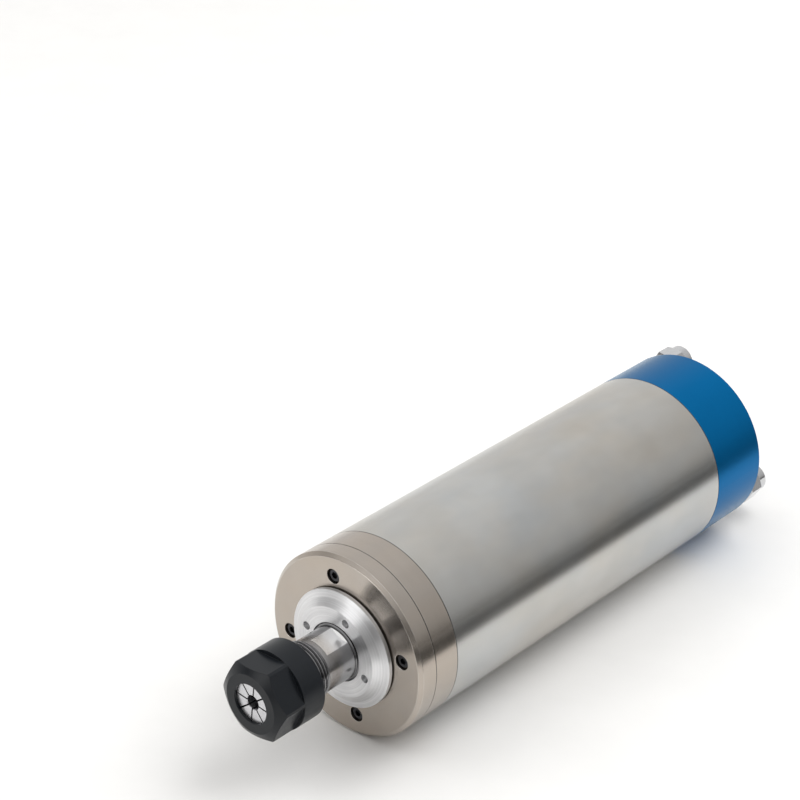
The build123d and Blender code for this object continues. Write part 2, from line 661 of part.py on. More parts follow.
def bearing_cage(size, start):
    """Cage ring with a square window for each ball."""
    half = size.width * CAGE_WIDTH_SHARE / 2
    middle = start + size.width / 2
    cage = ring(
        size.pitch_r - size.land + CAGE_GAP, size.pitch_r + size.land - CAGE_GAP, middle - half, middle + half
    )
    opening = 2 * (size.ball_r + POCKET_GAP)
    pocket = Box(size.land * 4, opening, opening)
    for angle in circle_of(size.balls, 0):
        cage -= Pos(0, middle, 0) * Rot(0, -angle, 0) * Pos(size.pitch_r, 0, 0) * pocket
    return cage


def bearing_nodes(prefix, size, start, flipped):
    """The four nodes of one bearing."""
    return {
        prefix + "_outer_ring": bearing_ring(size, False, start, flipped),
        prefix + "_inner_ring": bearing_ring(size, True, start, flipped),
        prefix + "_balls": bearing_balls(size, start),
        prefix + "_cage": bearing_cage(size, start),
    }


def spacers():
    """Inner and outer spacer rings between the two front bearings."""
    start = BEARING_1 + FRONT_BEARING.width
    pitch_r = FRONT_BEARING.pitch_r
    land = FRONT_BEARING.land
    inner = ring(FRONT_BEARING.bore_r + SEAT_GAP, pitch_r - land - SPACER_STEP, start, BEARING_2)
    outer = ring(pitch_r + land + SPACER_STEP, FRONT_BEARING.outer_r, start, BEARING_2)
    return inner, outer


def rear_lock_nut():
    """Slotted nut behind the rear bearing's inner ring, each slot half as long as the nut."""
    end = REAR_BEARING_BACK + LOCK_NUT_LENGTH
    nut = ring(REAR_THREAD_R + SEAT_GAP, LOCK_NUT_R, REAR_BEARING_BACK, end, EDGE_CHAMFER)
    slot = Pos(LOCK_NUT_R, end, 0) * Box(2 * LOCK_NUT_SLOT_DEPTH, LOCK_NUT_LENGTH, LOCK_NUT_SLOT)
    for angle in circle_of(LOCK_NUT_SLOTS, LOCK_NUT_SLOT_PHASE):
        nut -= Rot(0, -angle, 0) * slot
    return nut


def wave_spring():
    """Bowed spring washer that preloads the rear bearing's outer ring."""
    height = WAVE_SPRING_SPACE - 2 * SEAT_GAP
    drop = height - WAVE_SPRING_THICKNESS
    bow_r = (WAVE_SPRING_R ** 2 + drop ** 2) / (2 * drop)
    crest = REAR_BEARING_BACK + SEAT_GAP + height
    reach = WAVE_SPRING_R + CUT_PAST
    strip = rod(bow_r, -reach, reach) - rod(bow_r - WAVE_SPRING_THICKNESS, -reach, reach)
    washer = ring(WAVE_SPRING_R - WAVE_SPRING_WIDTH, WAVE_SPRING_R, REAR_BEARING_BACK, CIRCLIP_START)
    return washer & (Pos(0, crest - bow_r, 0) * Rot(90, 0, 0) * strip)


def retaining_ring():
    """Open retaining ring in the hub's groove, behind the spring."""
    outer_r = REAR_BEARING.outer_r + CIRCLIP_GROOVE_DEPTH
    start = CIRCLIP_START + SEAT_GAP
    clip = ring(outer_r - CIRCLIP_WIDTH, outer_r, start, CIRCLIP_START + CIRCLIP_THICKNESS - SEAT_GAP)
    reach = outer_r * 2
    half = CIRCLIP_OPENING / 2
    wedge = Polygon(
        (0, 0),
        (reach * cos(radians(90 - half)), reach * sin(radians(90 - half))),
        (reach * cos(radians(90 + half)), reach * sin(radians(90 + half))),
        align=None,
    )
    return clip - prism(wedge, CIRCLIP_START - CUT_PAST, CIRCLIP_START + CIRCLIP_THICKNESS + CUT_PAST)


# Shaft, collet and nut

def spindle_shaft():
    """Spindle shaft from the taper in its nose to the rear lock nut's thread."""
    seat_r = FRONT_BEARING.bore_r - SEAT_GAP
    rear_seat_r = REAR_BEARING.bore_r - SEAT_GAP
    taper_end_r = taper_r(TAIL_BORE_START) + TAPER_GAP
    shaft = turned([
        (0, NOSE_FACE),
        (THREAD_ROOT_R - NOSE_CHAMFER, NOSE_FACE),
        (THREAD_ROOT_R, NOSE_FACE + NOSE_CHAMFER),
        (THREAD_ROOT_R, NOSE_THREAD_END),
        (NECK_R, NOSE_THREAD_END),
        (NECK_R, FLAT_END),
        (THREAD_ROOT_R, FLAT_END),
        (THREAD_ROOT_R, BEARING_1 - THREAD_RUNOUT),
        (seat_r, BEARING_1 - THREAD_RUNOUT),
        (seat_r, HOUSING_LIP),
        (SHOULDER_R, HOUSING_LIP),
        (SHOULDER_R, HOUSING_LIP + SHOULDER_LENGTH),
        (SHAFT_MID_R, HOUSING_LIP + SHOULDER_LENGTH),
        (SHAFT_MID_R, ROTOR_FRONT),
        (ROTOR_SEAT_R, ROTOR_FRONT),
        (ROTOR_SEAT_R, ROTOR_BACK),
        (SHAFT_TAIL_R, ROTOR_BACK),
        (SHAFT_TAIL_R, BEARING_3),
        (rear_seat_r, BEARING_3),
        (rear_seat_r, REAR_BEARING_BACK),
        (REAR_THREAD_R, REAR_BEARING_BACK),
        (REAR_THREAD_R, SHAFT_END - TAIL_CHAMFER),
        (REAR_THREAD_R - TAIL_CHAMFER, SHAFT_END),
        (0, SHAFT_END),
    ])
    bore = turned([
        (0, NOSE_FACE - CUT_PAST),
        (taper_r(NOSE_FACE - CUT_PAST) + TAPER_GAP, NOSE_FACE - CUT_PAST),
        (taper_end_r, TAIL_BORE_START),
        (taper_end_r - TAIL_BORE_STEP, TAIL_BORE_START),
        (taper_end_r - TAIL_BORE_STEP, TAIL_BORE_END),
        (SHANK_BORE_R, TAIL_BORE_END),
        (SHANK_BORE_R, SHANK_BORE_END),
        (0, SHANK_BORE_END + SHANK_BORE_R / 2),
    ])
    shaft -= bore
    milled = Box(NECK_R, FLAT_END - FLAT_START, 2 * NECK_R)
    flat = Pos((FLATS_ACROSS + NECK_R) / 2, (FLAT_START + FLAT_END) / 2, 0) * milled
    for angle in circle_of(2, FLATS_PHASE):
        shaft -= Rot(0, -angle, 0) * flat
    return shaft


def collet():
    """Spring collet slit from both ends, so it closes evenly on the shank."""
    body = turned([
        (COLLET_BORE_R + EDGE_BREAK, COLLET_FACE),
        (COLLET_FACE_R, COLLET_FACE),
        (COLLET_R, COLLET_CONE_END),
        (COLLET_R, COLLET_RIM_END),
        (COLLET_GROOVE_R, COLLET_RIM_END),
        (COLLET_GROOVE_R, COLLET_TAPER_START),
        (COLLET_R, COLLET_TAPER_START),
        (taper_r(COLLET_END), COLLET_END),
        (COLLET_BORE_R + EDGE_BREAK, COLLET_END),
        (COLLET_BORE_R, COLLET_END - EDGE_BREAK),
        (COLLET_BORE_R, COLLET_FACE + EDGE_BREAK),
    ])
    length = COLLET_LENGTH - COLLET_WEB
    blade = Box(4 * COLLET_R, length, COLLET_SLOT)
    half_turn = [k * 360 / COLLET_SLOTS for k in range(COLLET_SLOTS // 2)]
    for angle in half_turn:
        body -= Rot(0, -COLLET_SLOT_PHASE - angle, 0) * Pos(0, COLLET_FACE + length / 2, 0) * blade
    for angle in half_turn:
        turn = COLLET_SLOT_PHASE + angle + 180 / COLLET_SLOTS
        body -= Rot(0, -turn, 0) * Pos(0, COLLET_END - length / 2, 0) * blade
    return body


def collet_nut():
    """Clamping nut: a round collar, a milled hexagon and the lip that draws the collet out."""
    gap = TAPER_GAP / cos(radians(COLLET_FACE_ANGLE))
    lip_front = COLLET_RIM_END + SLIP_GAP
    lip_back = lip_front + NUT_LIP_LENGTH
    chamfer_length = (NUT_R - NUT_FACE_R) * tan(radians(NUT_FACE_ANGLE))
    blank = turned([
        (COLLET_FACE_R + gap, NUT_FRONT),
        (NUT_FACE_R, NUT_FRONT),
        (NUT_R, NUT_FRONT + chamfer_length),
        (NUT_R, NUT_REAR - NUT_REAR_CHAMFER),
        (NUT_R - NUT_REAR_CHAMFER, NUT_REAR),
        (NOSE_THREAD_R + RUNNING_GAP, NUT_REAR),
        (NOSE_THREAD_R + RUNNING_GAP, lip_back),
        (NUT_LIP_R, lip_back),
        (NUT_LIP_R, lip_front),
        (COLLET_R + SLIP_GAP, lip_front),
        (COLLET_R + SLIP_GAP, COLLET_CONE_END - SLIP_GAP),
        (COLLET_FACE_R + gap, COLLET_FACE - SLIP_GAP),
    ])
    step = NUT_FRONT + NUT_HEX_LENGTH
    hexagonal = prism(hexagon(NUT_ACROSS_FLATS, NUT_FLAT_PHASE), NUT_FRONT - CUT_PAST, step)
    return blank & (hexagonal + rod(NUT_R + CUT_PAST, step, NUT_REAR + CUT_PAST))


def dust_cap():
    """Conical cap screwed on the shaft: its nose clamps the bearings and its hub seals in the cover."""
    cap = turned([
        (CAP_MOUTH_R, CAP_FACE),
        (CAP_FACE_R, CAP_FACE),
        (CAP_CONE_STEP_R, CAP_CONE_STEP),
        (CAP_RIM_R, CAP_RIM_FRONT),
        (CAP_RIM_R, CAP_RIM_BACK),
        (CAP_HUB_R, CAP_RIM_BACK),
        (CAP_HUB_R, CAP_HUB_BACK),
        (CAP_NOSE_R, CAP_HUB_BACK),
        (CAP_NOSE_R, BEARING_1),
        (NOSE_THREAD_R + RUNNING_GAP, BEARING_1),
        (NOSE_THREAD_R + RUNNING_GAP, CAP_FACE + CAP_MOUTH_DEPTH),
        (CAP_MOUTH_R, CAP_FACE + CAP_MOUTH_DEPTH),
    ])
    hole = rod(CAP_HOLE_R, CAP_FACE - CUT_PAST, CAP_FACE + CAP_HOLE_DEPTH)
    for angle in circle_of(CAP_HOLES, CAP_HOLE_PHASE):
        cap -= at(CAP_HOLE_CIRCLE_R, angle) * hole
    for k in range(CAP_GROOVES):
        start = CAP_GROOVE_START + CAP_GROOVE_PITCH * k
        cap -= ring(CAP_HUB_R - CAP_GROOVE_DEPTH, CAP_HUB_R + CUT_PAST, start, start + CAP_GROOVE_WIDTH)
    return cap


# Motor

def slot_box(width, inner_r, outer_r, extra=CUT_PAST):
    """Box along Y between two radii, longer than the stator by the same extra at each end."""
    middle = Pos((inner_r + outer_r) / 2, STATOR_START + STATOR_LENGTH / 2, 0)
    return middle * Box(outer_r - inner_r, STATOR_LENGTH + 2 * extra, width)


def stator_core():
    """Laminated stator with one open slot for each coil side."""
    core = ring(STATOR_BORE_R, STATOR_OUTER_R - SEAT_GAP, STATOR_START, STATOR_END)
    slot = slot_box(SLOT_WIDTH, SLOT_INNER_R, SLOT_OUTER_R)
    mouth = slot_box(SLOT_MOUTH, STATOR_BORE_R - CUT_PAST, SLOT_INNER_R + CUT_PAST)
    for angle in circle_of(STATOR_SLOTS, 0):
        core -= Rot(0, -angle, 0) * (slot + mouth)
    return core


def end_turn(start, end):
    """Bound ring of wire at one end of the stator, with its edges pressed down."""
    section = Rectangle(END_TURN_OUTER_R - END_TURN_INNER_R, end - start)
    middle_r = (END_TURN_INNER_R + END_TURN_OUTER_R) / 2
    section = chamfer(section.vertices(), END_TURN_CHAMFER)
    return revolve(Pos(middle_r, (start + end) / 2) * section, axis=Axis.Y)


def stator_winding():
    """Coil sides in the slots, joined by the end turns."""
    front = STATOR_START - END_TURN_STANDOFF
    back = STATOR_END + END_TURN_STANDOFF
    winding = end_turn(front - END_TURN_LENGTH, front) + end_turn(back, back + END_TURN_LENGTH)
    inner_r = SLOT_INNER_R + COIL_GAP
    outer_r = SLOT_OUTER_R - COIL_GAP
    side = slot_box(SLOT_WIDTH - 2 * COIL_GAP, inner_r, outer_r, END_TURN_STANDOFF)
    for angle in circle_of(STATOR_SLOTS, 0):
        winding += Rot(0, -angle, 0) * side
    return winding


def rotor_core():
    """Laminated rotor with closed slots for the cage bars."""
    core = ring(ROTOR_SEAT_R + SEAT_GAP, ROTOR_R, STATOR_START, STATOR_END)
    bar = slot_box(ROTOR_BAR_WIDTH + 2 * SEAT_GAP, ROTOR_BAR_INNER_R - SEAT_GAP, ROTOR_BAR_OUTER_R + SEAT_GAP)
    for angle in circle_of(ROTOR_BARS, 0):
        core -= Rot(0, -angle, 0) * bar
    return core


def rotor_cage():
    """Cast bars and end rings of the rotor."""
    outer_r = ROTOR_R - END_RING_STEP
    front = STATOR_START - END_RING_LENGTH
    cage = ring(END_RING_INNER_R, outer_r, front, STATOR_START, END_RING_CHAMFER)
    cage += ring(END_RING_INNER_R, outer_r, STATOR_END, STATOR_END + END_RING_LENGTH, END_RING_CHAMFER)
    bar = slot_box(ROTOR_BAR_WIDTH, ROTOR_BAR_INNER_R, ROTOR_BAR_OUTER_R)
    for angle in circle_of(ROTOR_BARS, 0):
        cage += Rot(0, -angle, 0) * bar
    return cage


def rib(start, end, angle):
    """One helical rib of the water jacket, ending at the given angle at its back end."""
    root_r = JACKET_R - RIB_FOOT
    top_r = SLEEVE_R_IN - RIB_GAP
    middle_r = (root_r + top_r) / 2
    length = end - start
    path = Helix(pitch=RIB_LEAD, height=length, radius=middle_r)
    section = Plane(origin=path @ 0, x_dir=(1, 0, 0), z_dir=path % 0) * Rectangle(top_r - root_r, RIB_WIDTH)
    body = sweep(section, path=path, is_frenet=True)
    return Rot(0, -angle, 0) * Pos(0, end, 0) * Rot(90, 0, 0) * body


def water_jacket():
    """Tube round the stator with the ribs that lead the cooling water."""
    jacket = ring(STATOR_OUTER_R, JACKET_R, HOUSING_END, REAR_HOUSING_FRONT)
    jacket += ring(STATOR_OUTER_R, SPIGOT_OUTER_R, HOUSING_END, HOUSING_END + FRONT_LAND_LENGTH)
    start = HOUSING_END + FRONT_LAND_LENGTH + TURNING_SPACE
    for angle in circle_of(RIB_STARTS, RIB_END_ANGLE):
        jacket += rib(start, REAR_HOUSING_FRONT - RIB_END_SPACE, angle)
    return jacket


# Water nozzles and power socket

def hex_blank(across_flats, bore_r, start, end):
    """Hexagonal blank with chamfered corners and two flats facing along X."""
    corner_r = across_flats / 2 / cos(radians(180 / HEX_SIDES))
    face_r = across_flats / 2 - EDGE_BREAK
    drop = (corner_r - face_r) * tan(radians(HEX_CHAMFER_ANGLE))
    round_blank = turned([
        (bore_r, start),
        (face_r, start),
        (corner_r, start + drop),
        (corner_r, end - drop),
        (face_r, end),
        (bore_r, end),
    ])
    return round_blank & prism(hexagon(across_flats, 0), start - CUT_PAST, end + CUT_PAST)


def water_nozzle():
    """Nozzle body on the axis: thread, hexagon, threaded barrel and hose spigot."""
    face = BODY_LENGTH
    neck = face + NOZZLE_HEX_LENGTH
    barrel = neck + NOZZLE_NECK_LENGTH
    spigot = barrel + NOZZLE_BARREL_LENGTH
    tip = spigot + SPIGOT_LENGTH
    body = hex_blank(NOZZLE_ACROSS_FLATS, NOZZLE_BORE_R, face, neck)
    body += ring(NOZZLE_BORE_R, NOZZLE_THREAD_R, face - NOZZLE_THREAD_LENGTH, face + CUT_PAST)
    body += turned([
        (NOZZLE_BORE_R, neck - CUT_PAST),
        (NOZZLE_NECK_R, neck - CUT_PAST),
        (NOZZLE_NECK_R, barrel),
        (NOZZLE_BARREL_R, barrel),
        (NOZZLE_BARREL_R, spigot),
        (SPIGOT_R, spigot),
        (SPIGOT_R, tip - SPIGOT_TIP_LENGTH),
        (SPIGOT_TIP_R, tip),
        (NOZZLE_BORE_R, tip),
    ])
    return body


def nozzle_nut():
    """Coupling nut on the axis: a hexagon on the barrel and a collar round the hose."""
    start = BODY_LENGTH + NOZZLE_NUT_START
    step = start + NOZZLE_NUT_HEX_LENGTH
    end = step + NOZZLE_NUT_COLLAR_LENGTH
    barrel_end = BODY_LENGTH + NOZZLE_HEX_LENGTH + NOZZLE_NECK_LENGTH + NOZZLE_BARREL_LENGTH
    nut = hex_blank(NOZZLE_ACROSS_FLATS, HOSE_R, start, step)
    nut += ring(HOSE_R, NOZZLE_NUT_COLLAR_R, step - CUT_PAST, end, EDGE_CHAMFER)
    return nut - rod(NOZZLE_BARREL_R + RUNNING_GAP, start - CUT_PAST, barrel_end + NOZZLE_NUT_SPARE)


def power_socket_shell():
    """Round socket shell on the axis, open at the back, through the end wall."""
    face = BODY_LENGTH
    rim = face + SOCKET_LENGTH
    front = REAR_CAVITY_BACK - SOCKET_NUT_LENGTH - SOCKET_THREAD_SHOW
    return turned([
        (SOCKET_INNER_R, front),
        (SOCKET_THREAD_R, front),
        (SOCKET_THREAD_R, face),
        (SOCKET_FLANGE_R, face),
        (SOCKET_FLANGE_R, face + SOCKET_FLANGE_LENGTH),
        (SOCKET_THREAD_R, face + SOCKET_FLANGE_LENGTH),
        (SOCKET_THREAD_R, rim - EDGE_CHAMFER),
        (SOCKET_THREAD_R - EDGE_CHAMFER, rim),
        (SOCKET_INNER_R, rim),
    ])


def power_socket_insert():
    """Insulating disc that carries the pins."""
    end = BODY_LENGTH + INSERT_FACE
    disc = rod(SOCKET_INNER_R - SEAT_GAP, end - INSERT_LENGTH, end)
    hole = rod(PIN_R + SEAT_GAP, end - INSERT_LENGTH - CUT_PAST, end + CUT_PAST)
    for angle in circle_of(PINS, PIN_PHASE):
        disc -= at(PIN_CIRCLE_R, angle) * hole
    return disc


def power_socket_pins():
    """Four round-nosed contact pins on the axis."""
    end = BODY_LENGTH + INSERT_FACE
    pin = turned([
        (0, end - INSERT_LENGTH - PIN_TAIL),
        (PIN_R, end - INSERT_LENGTH - PIN_TAIL),
        (PIN_R, end + PIN_HEIGHT - EDGE_CHAMFER),
        (PIN_R - EDGE_CHAMFER, end + PIN_HEIGHT),
        (0, end + PIN_HEIGHT),
    ])
    return [at(PIN_CIRCLE_R, angle) * pin for angle in circle_of(PINS, PIN_PHASE)]


def power_socket_nut():
    """Thin hexagonal nut on the axis that holds the shell from inside the end wall."""
    outline = hexagon(SOCKET_NUT_ACROSS_FLATS) - Circle(SOCKET_THREAD_R + SEAT_GAP)
    return prism(outline, REAR_CAVITY_BACK - SOCKET_NUT_LENGTH, REAR_CAVITY_BACK)


def motor_leads():
    """Four leads inside the casing, from the end turns to the pins."""
    tail = BODY_LENGTH + INSERT_FACE - INSERT_LENGTH - PIN_TAIL
    coil = STATOR_END + END_TURN_STANDOFF + END_TURN_LENGTH
    socket = at(SOCKET_CIRCLE_R, SOCKET_ANGLE)
    gland = at(LEAD_HOLE_CIRCLE_R, SOCKET_ANGLE)
    leads = []
    for angle in circle_of(PINS, PIN_PHASE):
        out = (socket * at(PIN_CIRCLE_R, angle)).position
        low = (gland * at(LEAD_BUNDLE_R, angle)).position
        route = Polyline(
            (low.X, coil, low.Z),
            (low.X, REAR_HUB_END + LEAD_BEND_SPACE, low.Z),
            (out.X, tail - LEAD_STRAIGHT, out.Z),
            (out.X, tail, out.Z),
        )
        section = Plane(origin=route @ 0, z_dir=route % 0) * Circle(LEAD_R)
        leads.append(sweep(section, path=route, transition=Transition.RIGHT))
    return leads


def write(name, shape):
    """Write one node; a list of solids becomes one node of separate solids."""
    if isinstance(shape, list):
        solids = [solid for piece in shape for solid in piece.solids()]
        shape = Compound(children=solids)
    export_step(shape, "parts/" + name + ".step")


def main():
    """Build every node and write it."""
    os.makedirs("parts", exist_ok=True)
    inner_spacer, outer_spacer = spacers()
    nodes = {
        "outer_sleeve": outer_sleeve(),
        "front_cover": front_cover(),
        "front_bearing_housing": front_bearing_housing(),
        "front_cover_screws": front_cover_screws(),
        "front_o_rings": orings(FRONT_ORINGS),
        "front_inner_spacer": inner_spacer,
        "front_outer_spacer": outer_spacer,
        "dust_cap": dust_cap(),
        "spindle_shaft": spindle_shaft(),
        "collet": collet(),
        "collet_nut": collet_nut(),
        "rotor_core": rotor_core(),
        "rotor_cage": rotor_cage(),
        "stator_core": stator_core(),
        "stator_winding": stator_winding(),
        "water_jacket": water_jacket(),
        "rear_bearing_housing": rear_bearing_housing(),
        "rear_o_ring": orings(REAR_ORINGS),
        "rear_lock_nut": rear_lock_nut(),
        "wave_spring": wave_spring(),
        "retaining_ring": retaining_ring(),
        "rear_cover": rear_cover(),
        "rear_cover_screws": rear_cover_screws(),
        "passage_o_rings": passage_orings(),
        "motor_leads": motor_leads(),
    }
    nodes |= bearing_nodes("front_bearing_1", FRONT_BEARING, BEARING_1, False)
    nodes |= bearing_nodes("front_bearing_2", FRONT_BEARING, BEARING_2, True)
    nodes |= bearing_nodes("rear_bearing", REAR_BEARING, BEARING_3, True)
    for number, angle in enumerate(NOZZLE_ANGLES, 1):
        turn = at(NOZZLE_CIRCLE_R, angle) * Rot(0, -angle - NOZZLE_HEX_TURN, 0)
        nodes[f"water_nozzle_{number}"] = turn * water_nozzle()
        nodes[f"nozzle_nut_{number}"] = turn * nozzle_nut()
    socket = at(SOCKET_CIRCLE_R, SOCKET_ANGLE)
    nodes["power_socket_shell"] = socket * power_socket_shell()
    nodes["power_socket_insert"] = socket * power_socket_insert()
    nodes["power_socket_pins"] = [socket * pin for pin in power_socket_pins()]
    nodes["power_socket_nut"] = socket * power_socket_nut()
    for name, shape in nodes.items():
        write(name, shape)


if __name__ == "__main__":
    main()
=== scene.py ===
"""Dresses the motor spindle in its metal, plastic and rubber finishes and sets the studio round it."""

from __future__ import annotations

import json
import logging
import math
from dataclasses import dataclass
from enum import Enum

import bpy
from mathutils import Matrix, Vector


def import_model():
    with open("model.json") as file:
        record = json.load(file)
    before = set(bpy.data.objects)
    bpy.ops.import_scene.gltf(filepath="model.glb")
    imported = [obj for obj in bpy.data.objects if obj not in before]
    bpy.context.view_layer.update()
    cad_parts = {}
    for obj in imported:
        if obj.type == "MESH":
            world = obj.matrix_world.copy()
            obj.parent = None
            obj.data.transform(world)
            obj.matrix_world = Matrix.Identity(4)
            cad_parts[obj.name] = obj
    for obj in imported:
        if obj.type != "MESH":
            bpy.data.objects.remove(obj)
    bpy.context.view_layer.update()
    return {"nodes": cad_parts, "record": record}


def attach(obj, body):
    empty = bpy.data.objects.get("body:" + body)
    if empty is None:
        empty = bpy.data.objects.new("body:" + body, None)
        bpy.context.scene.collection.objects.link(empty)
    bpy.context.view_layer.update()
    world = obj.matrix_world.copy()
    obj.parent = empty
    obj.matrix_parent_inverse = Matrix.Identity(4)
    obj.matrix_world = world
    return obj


LOG = logging.getLogger("spindle")

Colour = tuple[float, float, float]
Value = float | bpy.types.NodeSocket
Stops = tuple[tuple[float, float], ...]

# Lowest and highest shade that an effect puts out.
SHADES = (-1.0, 1.0)


class Effect(Enum):
    """Shared surface effects, each one node group."""

    GRAIN = "turned grain"
    CLOUDS = "clouds"
    # Lighter edges: partly worn metal, partly a painted highlight.
    WEAR_AND_HIGHLIGHT = "edge_wear_and_highlight"
    SPECKS = "specks"


# Node trees


class Graph:
    """Places nodes in one node tree and links them."""

    def __init__(self, tree: bpy.types.NodeTree) -> None:
        """Keeps the tree that the nodes go to."""
        self.tree = tree

    def add(self, kind: str, inputs: dict[str | int, object] | None = None, **settings: object) -> bpy.types.Node:
        """Adds one node.

        Args:
            kind: Blender's name for the type of node.
            inputs: value or source socket for each named or numbered input.
            settings: properties of the node.

        Returns:
            The new node.
        """
        node = self.tree.nodes.new(kind)
        for name, value in settings.items():
            setattr(node, name, value)
        for key, value in (inputs or {}).items():
            self.feed(node.inputs[key], value)
        return node

    def feed(self, socket: bpy.types.NodeSocket, value: object) -> None:
        """Links a source socket, or sets a constant.

        Args:
            socket: the input to fill.
            value: a source socket, a number, a colour or a vector.
        """
        if isinstance(value, bpy.types.NodeSocket):
            self.tree.links.new(value, socket)
        elif socket.type == "RGBA":
            socket.default_value = (*value, 1.0)
        else:
            socket.default_value = value

    def math(self, operation: str, first: Value, second: Value = 0.0, third: Value = 0.0) -> bpy.types.NodeSocket:
        """Returns the result of one math node."""
        node = self.add("ShaderNodeMath", {0: first, 1: second, 2: third}, operation=operation)
        return node.outputs[0]

    def vector_math(self, operation: str, first: object, second: object) -> bpy.types.Node:
        """Returns one vector math node."""
        return self.add("ShaderNodeVectorMath", {0: first, 1: second}, operation=operation)

    def mix(self, factor: Value, first: object, second: object, blend: str = "MIX") -> bpy.types.NodeSocket:
        """Mixes two colours.

        Args:
            factor: share of the second colour.
            first: colour or socket at factor 0.
            second: colour or socket at factor 1.
            blend: Blender's name for the way of mixing.

        Returns:
            The mixed colour's socket.
        """
        node = self.add("ShaderNodeMix", data_type="RGBA", blend_type=blend, clamp_factor=True)
        self.feed(node.inputs["Factor"], factor)
        self.feed(node.inputs[6], first)
        self.feed(node.inputs[7], second)
        return node.outputs[2]

    def spread(self, value: Value, low: float, high: float, out_low: Value = 0.0,
               out_high: Value = 1.0) -> bpy.types.NodeSocket:
        """Stretches a value from one range to another and clamps it.

        Args:
            value: the value to stretch.
            low: value that gives out_low.
            high: value that gives out_high.
            out_low: result at low.
            out_high: result at high.

        Returns:
            The stretched value's socket.
        """
        node = self.add("ShaderNodeMapRange", {0: value, 1: low, 2: high, 3: out_low, 4: out_high})
        return node.outputs[0]

    def noise(self, vector: object, scale: Value, detail: float = 2.0, rough: float = 0.5) -> bpy.types.NodeSocket:
        """Returns the value of a noise texture."""
        node = self.add("ShaderNodeTexNoise", {"Vector": vector, "Scale": scale, "Detail": detail, "Roughness": rough})
        return node.outputs[0]

    def ramp(self, value: Value, stops: Stops) -> bpy.types.NodeSocket:
        """Lays a grey ramp over a value.

        Args:
            value: the value from 0 to 1.
            stops: place and grey of each stop.

        Returns:
            The ramp's colour.
        """
        node = self.add("ShaderNodeValToRGB", {0: value})
        elements = node.color_ramp.elements
        for place, _ in stops[2:]:
            elements.new(place)
        for element, (place, grey) in zip(elements, stops):
            element.position = place
            element.color = (grey, grey, grey, 1.0)
        return node.outputs[0]

    def grey(self, shade: Value) -> bpy.types.NodeSocket:
        """Returns the colour that has one shade in its three channels."""
        return self.add("ShaderNodeCombineColor", {0: shade, 1: shade, 2: shade}).outputs[0]

    def place(self) -> bpy.types.NodeSocket:
        """Returns the point on the surface in the object's own metres."""
        return self.add("ShaderNodeTexCoord").outputs["Object"]

    def split(self, vector: bpy.types.NodeSocket) -> bpy.types.NodeOutputs:
        """Returns the x, y and z of a vector."""
        return self.add("ShaderNodeSeparateXYZ", {0: vector}).outputs

    def off_axis(self, part: bpy.types.NodeOutputs) -> bpy.types.NodeSocket:
        """Returns the distance from the spindle's axis, from the x, y and z of a point."""
        square = self.math("MULTIPLY_ADD", part[2], part[2], self.math("MULTIPLY", part[0], part[0]))
        return self.math("SQRT", square)


class EffectGroup:
    """Base of the shared effects: a shader node group with named inputs and outputs."""

    effect: Effect
    inputs: dict[str, float] = {}
    outputs: dict[str, str] = {}

    @classmethod
    def tree(cls) -> bpy.types.NodeTree:
        """Builds the group the first time, and finds it again later.

        Returns:
            The node group.
        """
        found = bpy.data.node_groups.get(cls.effect.value)
        if found:
            return found
        tree = bpy.data.node_groups.new(cls.effect.value, "ShaderNodeTree")
        for name, value in cls.inputs.items():
            socket = tree.interface.new_socket(name, in_out="INPUT", socket_type="NodeSocketFloat")
            socket.default_value = value
        for name, kind in cls.outputs.items():
            tree.interface.new_socket(name, in_out="OUTPUT", socket_type=kind)
        graph = Graph(tree)
        given = graph.add("NodeGroupInput").outputs
        graph.add("NodeGroupOutput", cls.fill(graph, given))
        return tree

    @classmethod
    def fill(cls, graph: Graph, given: bpy.types.NodeOutputs) -> dict[str, object]:
        """Builds the nodes inside the group.

        Args:
            graph: the group's nodes.
            given: the group's input sockets.

        Returns:
            The source socket for each output.
        """
        raise NotImplementedError

    @classmethod
    def use(cls, graph: Graph, **values: Value) -> bpy.types.Node:
        """Places the group in a material.

        Args:
            graph: the material's nodes.
            values: value or source socket for each input, its name in lower case with underscores.

        Returns:
            The group node.
        """
        node = graph.add("ShaderNodeGroup", node_tree=cls.tree())
        for name, value in values.items():
            graph.feed(node.inputs[name.replace("_", " ").capitalize()], value)
        return node


class GrainGroup(EffectGroup):
    """Fine lines that run round the spindle's axis, as a lathe or a brushing belt leaves them."""

    effect = Effect.GRAIN
    inputs = {"Lines": 900.0, "Sweep": 4.0, "Fine lines": 3000.0}
    outputs = {"Height": "NodeSocketFloat", "Shade": "NodeSocketFloat"}

    # Each set of lines and its share of the height.
    SHARES = {"Lines": 0.6, "Fine lines": 0.4}
    # Rings on an end face for each line along the axis.
    FACE_RINGS = 1.7
    LEAST_RADIUS = 1e-5
    NOISE = (0.3, 0.7)

    @classmethod
    def fill(cls, graph: Graph, given: bpy.types.NodeOutputs) -> dict[str, object]:
        """Builds two noises stretched round the Y axis.

        Args:
            graph: the group's nodes.
            given: the group's input sockets.

        Returns:
            The source socket for each output.
        """
        part = graph.split(graph.place())
        radius = graph.math("MAXIMUM", graph.off_axis(part), cls.LEAST_RADIUS)
        along = graph.math("MULTIPLY_ADD", radius, cls.FACE_RINGS, part[1])
        ring_x = graph.math("MULTIPLY", graph.math("DIVIDE", part[0], radius), given["Sweep"])
        ring_z = graph.math("MULTIPLY", graph.math("DIVIDE", part[2], radius), given["Sweep"])
        heights = []
        for lines, share in cls.SHARES.items():
            line = graph.math("MULTIPLY", along, given[lines])
            vector = graph.add("ShaderNodeCombineXYZ", {0: ring_x, 1: line, 2: ring_z}).outputs[0]
            heights.append(graph.math("MULTIPLY", graph.noise(vector, 1.0, detail=2.0, rough=0.6), share))
        height = graph.math("ADD", *heights)
        return {"Height": height, "Shade": graph.spread(height, *cls.NOISE, *SHADES)}


